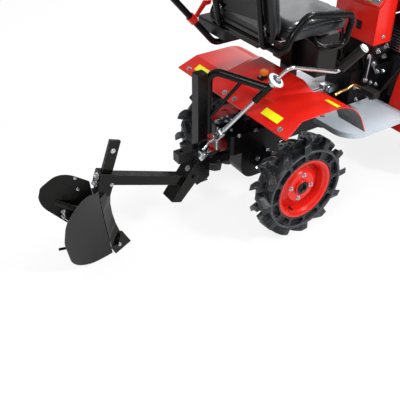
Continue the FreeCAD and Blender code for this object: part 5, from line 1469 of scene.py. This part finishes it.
@dataclass
class Crank(LiftScrew):
    """The lifting crank's bright pieces: its thrust disc, nut, grip and grip cap."""

    rise: float = 88.0
    arm: float = 300.0
    grip_length: float = 134.0

    def build(self) -> None:
        """Build the disc, the collar nut, the rubber sleeve's ribs and its end cap."""
        axis, heading = self.axis, vec(0.88, -0.12, 0)
        arm = (heading - axis * heading.dot(axis)).normalized()
        disc = Stock("crank_disc")
        rim = [(8.4, 6.4), (12, 6.4), (13, 9.5), (30, 8.6), (33.4, 7.6), (34.4, 6.2), (33.4, 5), (8.4, 5)]
        disc.turned(rim, self.sleeve_top, axis, steps=56, closed=True)
        disc.piece(Paints.WHITE, Body.REAR)
        nut = Stock("crank_nut")
        nut.bolt(self.sleeve_top + axis * 9, axis, across=22, height=0.5)
        nut.turned([(15.3, -20), (17.5, -20), (18, -18), (18, -4), (17, -1), (15.3, -1)], self.sleeve_top,
                   axis, steps=40, closed=True)
        nut.piece(Paints.ZINC, Body.REAR)
        root = self.sleeve_top + axis * (self.rise + 24) + arm * self.arm
        top = root + axis * self.grip_length
        sleeve = Stock("crank_sleeve_ribs")
        for step in range(12):
            foot = 10 + step * (self.grip_length - 26) / 11
            sleeve.turned([(18.9, foot - 2.6), (19.7, foot - 1.5), (19.9, foot), (19.7, foot + 1.5),
                           (18.9, foot + 2.6)], root, axis, steps=40)
        sleeve.piece(Paints.GRIP, Body.REAR, Slot.PLASTIC)
        cap = Stock("crank_grip_cap")
        cap.turned([(0, 2.6), (10, 2.2), (16, 1.2), (18.6, -0.6), (19.3, -3), (19.3, -7), (0, -7)], top, axis,
                   steps=48)
        cap.rod(top + axis * 1.5, top + axis * 3.6, 6.5, sides=24, chamfer=0.8)
        cap.piece(Paints.WHITE, Body.REAR)


@dataclass
class Coupling(LiftScrew):
    """The lift linkage at the screw's foot: a clevis, a bent link and a hitch pin."""

    drop: float = 42.0

    def clevis(self) -> None:
        """A forked end on the screw, with its cross pin and lock nut."""
        axis = -self.axis
        across = axis.cross(X).normalized()
        stock = Stock("lift_clevis")
        for side in SIDES:
            stock.plate([self.screw_end + across * side * 12.5 + axis * along + axis.cross(across) * wide
                         for along, wide in ((-12, -9), (-18, 0), (-12, 9), (44, 8), (50, 0), (44, -8))],
                        across * side * 4, 1.0)
        stock.rod(self.screw_end - across * 19, self.screw_end + across * 19, 6, sides=20, chamfer=1)
        low = self.screw_end + axis * self.drop
        stock.rod(low - across * 21, low + across * 21, 5, sides=20, chamfer=1)
        stock.bolt(self.screw_end - axis * 26, -axis, across=17, height=0.6, washer=False)
        stock.piece(Paints.ZINC, Body.REAR)

    def link(self) -> None:
        """The bent link that hangs from the clevis towards the arm's shackle, and a hitch pin beside it."""
        stock = Stock("lift_link")
        low = self.screw_end - self.axis * self.drop
        stock.tube([low + vec(6, 0, 6), low + vec(-8, 4, -8), vec(-296, -44, 417),
                    vec(-318, -44, 417), vec(-333, -42, 405), vec(-333, -41, 392)], 6.5, 12)
        stock.piece(Paints.ZINC, Body.REAR)
        pin = Stock("hitch_pin")
        pin.tube([vec(-247, -30, 474), vec(-246, -30, 426)], 4, 0)
        pin.tube([vec(-252, -31, 397), vec(-249, -30, 364)], 4.5, 0)
        pin.rod(vec(-249, -30, 366), vec(-249, -30, 360), 7, sides=16, chamfer=1)
        pin.piece(Paints.ZINC, Body.REAR)

    def build(self) -> None:
        """Build it all."""
        self.clevis()
        self.link()


# ============================================================ implement

@dataclass
class Ridger:
    """Fasteners, shackle and bars of the ridging plough behind the machine."""

    pin: Vector = point(-375, 0, 262)
    raised: float = 21.0

    def at(self, behind: float, above: float, y: float = 0.0) -> Vector:
        """A point behind the pin and above it with the boom level, swung up to where it is parked."""
        return self.pin + Matrix.Rotation(math.radians(self.raised), 3, "Y") @ vec(-behind, y, above)

    def along(self, behind: float, above: float, y: float = 0.0) -> Vector:
        """A direction given the same way."""
        return self.at(behind, above, y) - self.at(0, 0, 0)

    def bolts(self) -> None:
        """Zinc bolts and nuts, each on the face that it clamps."""
        stock = Stock("ridger_bolts")
        back = self.along(1, 0).normalized()
        arm, body, boards = Skin("lift_arm"), Skin("plough_body", "boom_clamp"), Skin("mouldboards")
        stock.bolt_on(arm, self.at(120, 30, -13), -back, across=14, height=0.5)
        for above in (-20, -52):
            stock.rod(self.at(452, above, 0), self.at(480, above, 0), 5, sides=18, chamfer=1)
            stock.bolt(self.at(464, above, 0), back, across=17, height=0.55)
        stock.bolt(self.at(426, 98, -7), -Y, across=11, height=0.4)
        stock.bolt_on(body, self.at(404, -44, -120), Y, across=8, height=0.5)
        for behind, above in ((515, -72), (493, -121)):
            for side in SIDES:
                stock.bolt_on(boards, self.at(behind, above, 20 * side), Y * side, across=7, height=0.5)
        for side in SIDES:
            stock.bolt_on(body, self.at(272, -352, 90 * side), -Y * side, across=8.5, height=0.4)
        stock.piece(Paints.ZINC, Body.TOOL)

    def block(self) -> None:
        """The bright shackle and its wing bolt, in front of the arm's top."""
        stock = Stock("arm_shackle")
        centre = vec(-331, -33, 360)
        turn = Matrix.Rotation(math.radians(-34), 4, "Y")
        stock.block(centre - vec(22, 15, 13), centre + vec(22, 15, 13), 3, 2, turn)
        axis, normal = turn.to_3x3() @ X, turn.to_3x3() @ Z
        stock.bolt(centre + normal * 13, normal, across=15, thread=5)
        stock.rod(centre + axis * 8 - Y * 22, centre + axis * 8 + Y * 22, 7, sides=18, chamfer=1)
        for side in SIDES:
            stock.plate([centre + axis * 30 - Y * 6 + axis * along + Z * rise for along, rise in
                         ((-6, -6), (6, -15), (18, -17), (21, -9), (12, -3), (2, 6))], Y * 3 * side, 1.2)
        stock.piece(Paints.ZINC, Body.TOOL)

    def bars(self) -> None:
        """The flat bars that hold the mouldboards apart, the plate between them, and the heel rod."""
        stock, boards = Stock("wing_bars"), Skin("mouldboards")
        rise = self.along(0, 26)
        for side in SIDES:
            foot, aim = self.at(434, -215, 9 * side), self.at(562, -215, 104 * side)
            heading = (aim - foot).normalized()
            end = boards.seat(foot + rise / 2, heading)[0] - rise / 2 + heading
            half = heading.cross(rise).normalized() * 3
            stock.plate([foot - half, end - half, end + half, foot + half], rise, 0.8)
        outline = ((478, -48), (504, -62), (504, 62), (478, 48))
        stock.plate([self.at(behind, -213, y) for behind, y in outline], self.along(0, 22), 1.2)
        stock.rod(self.at(364, -340), self.at(552, -369), 6, sides=24, chamfer=1)
        stock.piece(Paints.TOOL, Body.TOOL, Slot.BLACK, replaces=("wing_stays",))

    def stay_nuts(self) -> None:
        """Nuts and the plated spacer of the wing stay."""
        stock = Stock("stay_nuts")
        for behind, above in ((552, -206), (546, -228)):
            stock.bolt(self.at(behind, above, 34), self.along(1, 0.2), across=11, thread=4)
        stock.tube([self.at(540, -234, 32), self.at(528, -254, 34), self.at(512, -276, 36)], 6, 12)
        stock.piece(Paints.ZINC, Body.TOOL)

    def build(self) -> None:
        """Build it all."""
        for make in (self.bolts, self.block, self.bars, self.stay_nuts):
            make()


# ============================================================ console and controls

@dataclass
class Console:
    """What is on the console and below it: display, switches, boots, linkage, rolled edge and pedals."""

    rear_x: float = 542.0
    half_width: float = 132.0
    dash: Panel = field(default_factory=lambda: Panel(vec(542, 0, 862), vec(60, 0, 78)))
    pedal_route: tuple[tuple[float, float], ...] = (
        (318, 521), (340, 517), (362, 522), (394, 540), (426, 551), (454, 543), (482, 522), (505, 503))

    def fascia(self) -> None:
        """A dark display in its frame, six push buttons and a key switch."""
        glass = Stock("dash_display")
        glass.plate([self.dash.at(up, y, 7.6) for up, y in ((30, -6), (30, 86), (78, 86), (78, -6))],
                    self.dash.out * 2.4, 1.2)
        glass.piece(Paints.DISPLAY, Body.FRONT, Slot.PLASTIC)
        frame_ring = Stock("dash_display_frame")
        frame_ring.tube([self.dash.at(up, y, 8.6) for up, y in
                         ((54, 90), (82, 90), (82, -10), (26, -10), (26, 90), (54, 90))], 2.6, 6, sides=10)
        frame_ring.piece(Paints.PLASTIC, Body.FRONT, Slot.PLASTIC)
        buttons = Stock("dash_buttons")
        for up in (34, 56, 78):
            for y in (-34, -60):
                buttons.turned([(0, 13), (5, 12.8), (7, 11.4), (7.6, 8), (9.6, 7.6), (10, 6)],
                               self.dash.at(up, y), self.dash.out, steps=28)
        buttons.piece(Paints.REFLEX, Body.FRONT, Slot.PLASTIC)
        key = Stock("key_switch")
        key.turned([(0, 10), (4, 10), (4.6, 14), (9, 14), (10.6, 12), (11.4, 7), (13, 6)],
                   self.dash.at(46, -92), self.dash.out, steps=36)
        key.plate([self.dash.at(46 + up, -92 + y, 12) for up, y in ((-2, -1), (-2, 1), (2, 1), (2, -1))],
                  self.dash.out * 22, 0.4)
        key.turned([(0, 38), (9, 37.4), (10, 35), (9, 32.6), (0, 32)], self.dash.at(46, -92), self.dash.out,
                   steps=28)
        key.piece(Paints.CHROME, Body.FRONT, Slot.CHROME)

    def switches(self) -> None:
        """A black rocker switch on the console's rear face and the bolts that hold its skirt."""
        stock = Stock("rocker_switch")
        x = self.rear_x
        stock.block(vec(x - 4, -44, 752), vec(x + 1, -12, 790), 2.0, 2)
        stock.block(vec(x - 9, -38, 757), vec(x - 2, -18, 785), 2.6, 3,
                    Matrix.Rotation(math.radians(8), 4, "Y"))
        stock.piece(Paints.PLASTIC, Body.FRONT, Slot.PLASTIC)
        bolts = Stock("console_bolts")
        bolts.bolt_sides((601, self.half_width + 0.2, 731), across=11)
        bolts.piece(Paints.ZINC, Body.FRONT)

    def boots(self) -> None:
        """Folded rubber boots at the gear levers' feet."""
        stock = Stock("gear_boots")
        low, spots = DATUM.millimetres("gear_levers")[0], DATUM.spots("gear_levers")
        for inner in (True, False):
            feet = [spot for spot in spots if spot.z < low.z + 20 and (spot.y < 31) == inner]
            foot = sum(feet, Vector()) / len(feet)
            stock.turned([(16, 0), (16, 7), (12, 9), (13.5, 13), (10.5, 16), (12, 20), (9, 24), (10, 29),
                          (6.6, 33)], vec(foot.x, foot.y, low.z + 1), Z, steps=32)
        stock.piece(Paints.GRIP, Body.FRONT, Slot.PLASTIC)

    def linkage(self) -> None:
        """Shift rods and bell cranks on both sides of the gearbox, and the footboards' struts."""
        stock = Stock("shift_linkage")
        for _, route in flanks((566, 108, 632), (558, 112, 600), (556, 112, 540), (566, 104, 512)):
            stock.tube(route, 4.5, 12)
        for _, route in flanks((604, 104, 588), (590, 112, 566), (612, 114, 548), (640, 106, 540)):
            stock.tube(route, 4, 10)
        stock.bolt_sides((566, 100, 632), (604, 100, 588), (640, 100, 540), (566, 100, 512), across=14,
                         thread=6)
        stock.piece(Paints.ZINC, Body.FRONT)
        crank = Stock("shift_bell_crank")
        outline = ((548, 640), (584, 648), (622, 600), (656, 548), (640, 526), (600, 570), (560, 504),
                   (540, 510), (560, 580))
        for side in SIDES:
            crank.plate([vec(x, side * 92, z) for x, z in outline], Y * side * 8, 1.4)
        crank.piece(Paints.CASE, Body.FRONT, Slot.BLACK)
        strut = Stock("footboard_struts")
        for _, (top, knee, thin, foot) in flanks((676, 200, 583), (590, 200, 507),
                                                 (592, 200, 509), (560, 200, 481)):
            strut.rod(top, knee, 10, sides=24, chamfer=2)
            strut.rod(thin, foot, 6, sides=20, chamfer=1)
        strut.piece(Paints.BLACK, Body.FRONT, Slot.BLACK)

    def lip(self) -> None:
        """The console's rolled upper edge, along its rear and up both sides of the fascia."""
        stock = Stock("console_lip")
        inset = self.half_width - 1
        stock.tube([self.dash.at(94, inset, 3), self.dash.at(1, inset, 3), self.dash.at(1, -inset, 3),
                    self.dash.at(94, -inset, 3)], 6.5, 14, sides=14)
        stock.piece(Paints.RED, Body.FRONT, Slot.RED)

    def pedals(self) -> None:
        """Bent yellow-zinc pedal rods on cross shafts, with ribbed rubber sleeves on their outer ends."""
        stems, sleeves = Stock("pedal_rods"), Stock("pedal_rubbers")
        for side in SIDES:
            route = [vec(x, side * 150, z) for x, z in self.pedal_route]
            end = route[-1]
            stems.tube(route, 6, 9)
            stems.tube([vec(end.x, side * 88, end.z), vec(end.x, side * 233, end.z)], 7, 0)
            for index in range(10):
                middle = vec(end.x, side * (157 + 8.4 * index), end.z)
                sleeves.block(middle - vec(24, 2.7, 17), middle + vec(24, 2.7, 17), 6, 3)
            sleeves.block(vec(end.x - 20, side * 152 if side > 0 else -238, end.z - 13),
                          vec(end.x + 20, 238 if side > 0 else -152, end.z + 13), 7, 3)
        stems.piece(Paints.GOLD, Body.FRONT, replaces=["pedals"])
        sleeves.piece(Paints.GRIP, Body.FRONT, Slot.RUBBER, ["pedals"])

    def wheel_trim(self) -> None:
        """The steering wheel's boss cap."""
        centre = vec(462, 0, 1085)
        lean = math.radians(28)
        axis = vec(-math.sin(lean), 0, math.cos(lean))
        stock = Stock("steering_boss_cap")
        stock.turned([(0, 17), (12, 16.4), (22, 13.5), (27, 9), (29, 2), (29, -4)], centre, axis, steps=48)
        stock.piece(Paints.PLASTIC, Body.STEERING, Slot.PLASTIC)

    def build(self) -> None:
        """Build it all."""
        for make in (self.fascia, self.switches, self.boots, self.linkage, self.lip, self.pedals,
                     self.wheel_trim):
            make()


# ============================================================ front unit

@dataclass
class FrontFittings:
    """Engine details, lamps and bolts on the front unit and its hood."""

    def gearbox_nuts(self) -> None:
        """Nuts and studs on the gearbox's sides, and on the plate that carries the console."""
        stock = Stock("gearbox_nuts")
        box = Skin("front_gearbox")
        for side in SIDES:
            for x, z in ((629, 478), (668, 459), (705, 519), (520, 480), (540, 410), (620, 400), (700, 400)):
                stock.bolt_on(box, vec(x, side * 300, z), -Y * side, across=12, thread=4)
        stock.bolt_sides((679, 92, 657), (628, 92, 643), (678, 92, 606), across=14, thread=7)
        stock.piece(Paints.ZINC, Body.FRONT)

    def console_plate(self) -> None:
        """The black plates that carry the console."""
        stock = Stock("console_carrier")
        outline = ((514, 699), (700, 699), (716, 640), (690, 596), (610, 560), (560, 560), (524, 640))
        for side in SIDES:
            stock.plate([vec(x, side * 86, z) for x, z in outline], Y * side * 6, 1.6)
        stock.piece(Paints.BLACK, Body.FRONT, Slot.BLACK)

    def fins(self) -> None:
        """Cooling fins round the cylinder head."""
        stock = Stock("head_fins")
        for step in range(8):
            z = 592 + 14 * step
            stock.block(vec(802, -100, z), vec(1038, 100, z + 4), 1.5, 1)
        stock.piece(Paints.ALLOY, Body.FRONT, Slot.IRON)

    def flywheel(self) -> None:
        """The recoil cover with its slots, the engine's bolts and the oil filter."""
        stock = Stock("flywheel_cover")
        centre = vec(1020, -168, 476)
        stock.turned([(0, 8), (24, 8), (27, 4), (52, 4), (56, 1), (80, 1), (87, -5), (88, -12)], centre, -Y,
                     steps=64)
        for index in range(16):
            out = clock(math.radians(22.5 * index))
            stock.rod(centre + out * 31 - Y * 4.2, centre + out * 49 - Y * 4.2, 3.2, sides=10, chamfer=1)
        stock.piece(Paints.IRON, Body.FRONT, Slot.IRON)
        bolts = Stock("engine_bolts")
        for index in range(6):
            bolts.bolt(centre + clock(math.radians(60 * index + 15)) * 68 - Y, -Y, across=12)
        bolts.bolt_sides(*((x, 132, z) for x in (800, 870, 940, 1010) for z in (560, 394)), across=12)
        bolts.piece(Paints.ZINC, Body.FRONT)
        filter_can = Stock("oil_filter")
        filter_can.turned([(0, 74), (30, 74), (35, 70), (36, 60), (36, 8), (33, 4), (28, 0)],
                          vec(850, 132, 440), Y, steps=40)
        filter_can.piece(Paints.WHITE, Body.FRONT, Slot.GREY)

    def radiator(self) -> None:
        """Rows of fins on the radiator's front, and its hoses."""
        stock = Stock("radiator_core")
        for step in range(30):
            z = 384 + 12.4 * step
            stock.block(vec(1219, -130, z), vec(1224, 130, z + 3), 0.8, 1)
        stock.piece(Paints.ALLOY, Body.FRONT)
        hoses = Stock("radiator_hoses")
        hoses.tube([vec(1165, -60, 742), vec(1120, -60, 742), vec(1080, -30, 712),
                    vec(1042, -20, 690)], 17, 34, sides=20)
        hoses.tube([vec(1162, 80, 410), vec(1110, 96, 410), vec(1068, 100, 430)], 17, 30, sides=20)
        hoses.piece(Paints.GRIP, Body.FRONT, Slot.PLASTIC)

    def lamps(self) -> None:
        """Headlamp bezels, and the flutes of their lenses."""
        bezel, lens = Stock("headlamp_bezels"), Stock("headlamp_lenses")
        outline = ((0, 26), (25, 26), (25, -26), (-25, -26), (-25, 26), (0, 26))
        for side in SIDES:
            middle = vec(1386, side * 145, 785)
            bezel.tube([middle + vec(11, y, z) for y, z in outline], 3.4, 7, sides=12)
            for step in range(7):
                y = middle.y - 19.5 + 6.5 * step
                lens.rod(vec(1394.5, y, 763), vec(1394.5, y, 807), 3.1, sides=12, chamfer=1)
        bezel.piece(Paints.PLASTIC, Body.HOOD, Slot.PLASTIC)
        lens.piece(Paints.LAMP, Body.HOOD)

    def hood_trim(self) -> None:
        """Louvres on the hood's sides, and its latches."""
        stock = Stock("hood_louvres")
        for side in SIDES:
            for step in range(9):
                x = 850 + 34 * step
                stock.block(vec(x, side * 185 - 2.2, 740), vec(x + 16, side * 185 + 2.2, 826), 2.0, 2,
                            Matrix.Rotation(math.radians(7 * side), 4, "Z"))
        stock.piece(Paints.PLASTIC, Body.HOOD, Slot.PLASTIC)
        latch = Stock("hood_latches")
        for side in SIDES:
            latch.block(vec(1236, side * 187 - 3, 690), vec(1262, side * 187 + 3, 734), 2, 2)
            latch.rod(vec(1249, side * 184, 727), vec(1249, side * 193, 727), 5, sides=16, chamfer=1)
        latch.piece(Paints.ZINC, Body.HOOD)

    def bumper_bolts(self) -> None:
        """Bolts on the front frame's rails and on the bumper."""
        stock = Stock("front_bolts")
        for side in SIDES:
            for x in (300, 470, 620):
                stock.bolt(vec(x, side * 112, 400.2), Z, across=12)
            for z in (320, 370):
                stock.bolt(vec(1430.2, side * 95, z), X, across=14)
        stock.piece(Paints.ZINC, Body.FRONT)

    def build(self) -> None:
        """Build it all."""
        for make in (self.gearbox_nuts, self.console_plate, self.fins, self.flywheel, self.radiator,
                     self.lamps, self.hood_trim, self.bumper_bolts):
            make()


# ============================================================ studio

@dataclass
class Studio:
    """Floor, soft lights and camera."""

    azimuth: float = -33.03
    elevation: float = 36.74
    camera_from_axle: Vector = point(-1.556, -1.9023, 1.7811)
    lens: float = 54.0

    def camera(self) -> None:
        """Stand the camera where the machine is seen from."""
        data = bpy.data.cameras.new("camera")
        data.lens, data.sensor_width = self.lens, 36.0
        data.clip_start, data.clip_end = 0.05, 60.0
        eye = stand("camera", data)
        turn, rise = math.radians(self.azimuth), math.radians(self.elevation)
        back = vec(math.sin(turn) * math.cos(rise), -math.cos(turn) * math.cos(rise), math.sin(rise))
        look(eye, self.camera_from_axle + X * DATUM.axle_x, -back)
        bpy.context.scene.camera = eye

    def lamp(self, name: str, place: Vector, size: float, watts: float, target: Vector) -> None:
        """Hang one soft lamp.

        Args:
            name: of the lamp.
            place: where it hangs, in metres.
            size: its diameter, in metres.
            watts: its power.
            target: what it points at.
        """
        data = bpy.data.lights.new(name, "AREA")
        data.shape, data.size, data.energy = "DISK", size, watts
        look(stand(name, data), place, target - place)

    def lights(self) -> None:
        """A key on the near side, one light behind, two gleams for what is level or sloping, a dim dome."""
        middle = vec(0, 0, 0.5)
        self.lamp("key", vec(1.5, -3.1, 3.3), 0.7, 150, middle)
        self.lamp("rear", vec(-2.6, -1.6, 3.4), 1.2, 70, middle)
        self.lamp("gleam", vec(2.9, 3.3, 2.3), 1.8, 16, middle)
        self.lamp("slope", vec(2.5, 0.5, 4.0), 0.9, 130, middle)
        world = bpy.data.worlds.new("studio")
        bpy.context.scene.world = world
        tree = blank(world)
        path = add_node(tree, "ShaderNodeLightPath")
        seen = add_node(tree, "ShaderNodeMath", {"operation": "MAXIMUM"},
                        {0: path.outputs["Is Camera Ray"], 1: path.outputs["Is Transmission Ray"]})
        place = add_node(tree, "ShaderNodeTexCoord").outputs["Generated"]
        height = add_node(tree, "ShaderNodeSeparateXYZ", {}, {0: place})
        limits = {"From Min": 0.1, "From Max": 0.95, "To Min": 0.14, "To Max": 0.8}
        dome = add_node(tree, "ShaderNodeMapRange", limits, {"Value": height.outputs["Z"]})
        strength = add_node(tree, "ShaderNodeMix", {"data_type": "FLOAT", 3: 1.0},
                            {0: seen.outputs[0], 2: dome.outputs["Result"]})
        sky = add_node(tree, "ShaderNodeBackground", {"Color": linear("#ffffff")},
                       {"Strength": strength.outputs[0]})
        add_node(tree, "ShaderNodeOutputWorld", {}, {"Surface": sky.outputs["Background"]})

    def floor(self) -> None:
        """Lay a pale floor that keeps a soft shadow."""
        mesh = bmesh.new()
        bmesh.ops.create_grid(mesh, x_segments=1, y_segments=1, size=14)
        data = to_data(mesh, "floor")
        floor = stand("floor", data)
        material = bpy.data.materials.new("white_studio_floor")
        tree = blank(material)
        path = add_node(tree, "ShaderNodeLightPath")
        first = add_node(tree, "ShaderNodeMath", {"operation": "MAXIMUM"},
                         {0: path.outputs["Is Camera Ray"], 1: path.outputs["Is Glossy Ray"]})
        seen = add_node(tree, "ShaderNodeMath", {"operation": "MAXIMUM"},
                        {0: first.outputs[0], 1: path.outputs["Is Transmission Ray"]})
        glow = add_node(tree, "ShaderNodeMath", {"operation": "MULTIPLY", 1: 0.84}, {0: seen.outputs[0]})
        matt = add_node(tree, "ShaderNodeBsdfDiffuse", {"Color": linear("#f0f0f0")})
        white = add_node(tree, "ShaderNodeEmission", {"Color": linear("#ffffff"), "Strength": 1.0})
        mix = add_node(tree, "ShaderNodeMixShader", {},
                       {0: glow.outputs[0], 1: matt.outputs["BSDF"], 2: white.outputs["Emission"]})
        add_node(tree, "ShaderNodeOutputMaterial", {}, {"Surface": mix.outputs["Shader"]})
        data.materials.append(material)

    def build(self) -> None:
        """Set the studio up."""
        bpy.context.scene.view_settings.view_transform = "Standard"
        self.camera()
        self.lights()
        self.floor()


def main() -> None:
    """Dress the machine, piece by piece."""
    logging.basicConfig(level=logging.INFO, format="%(name)s: %(message)s")
    Studio().build()
    Coat().apply()
    for end, axle_x in (("rear", 0.0), ("front", 960.0)):
        for side in (1, -1):
            Wheel(end, side, axle_x).build()
    for part in (RearFittings(), Seat(), Crank(), Coupling(), Ridger(), Console(), FrontFittings()):
        part.build()


if __name__ == "__main__":
    main()
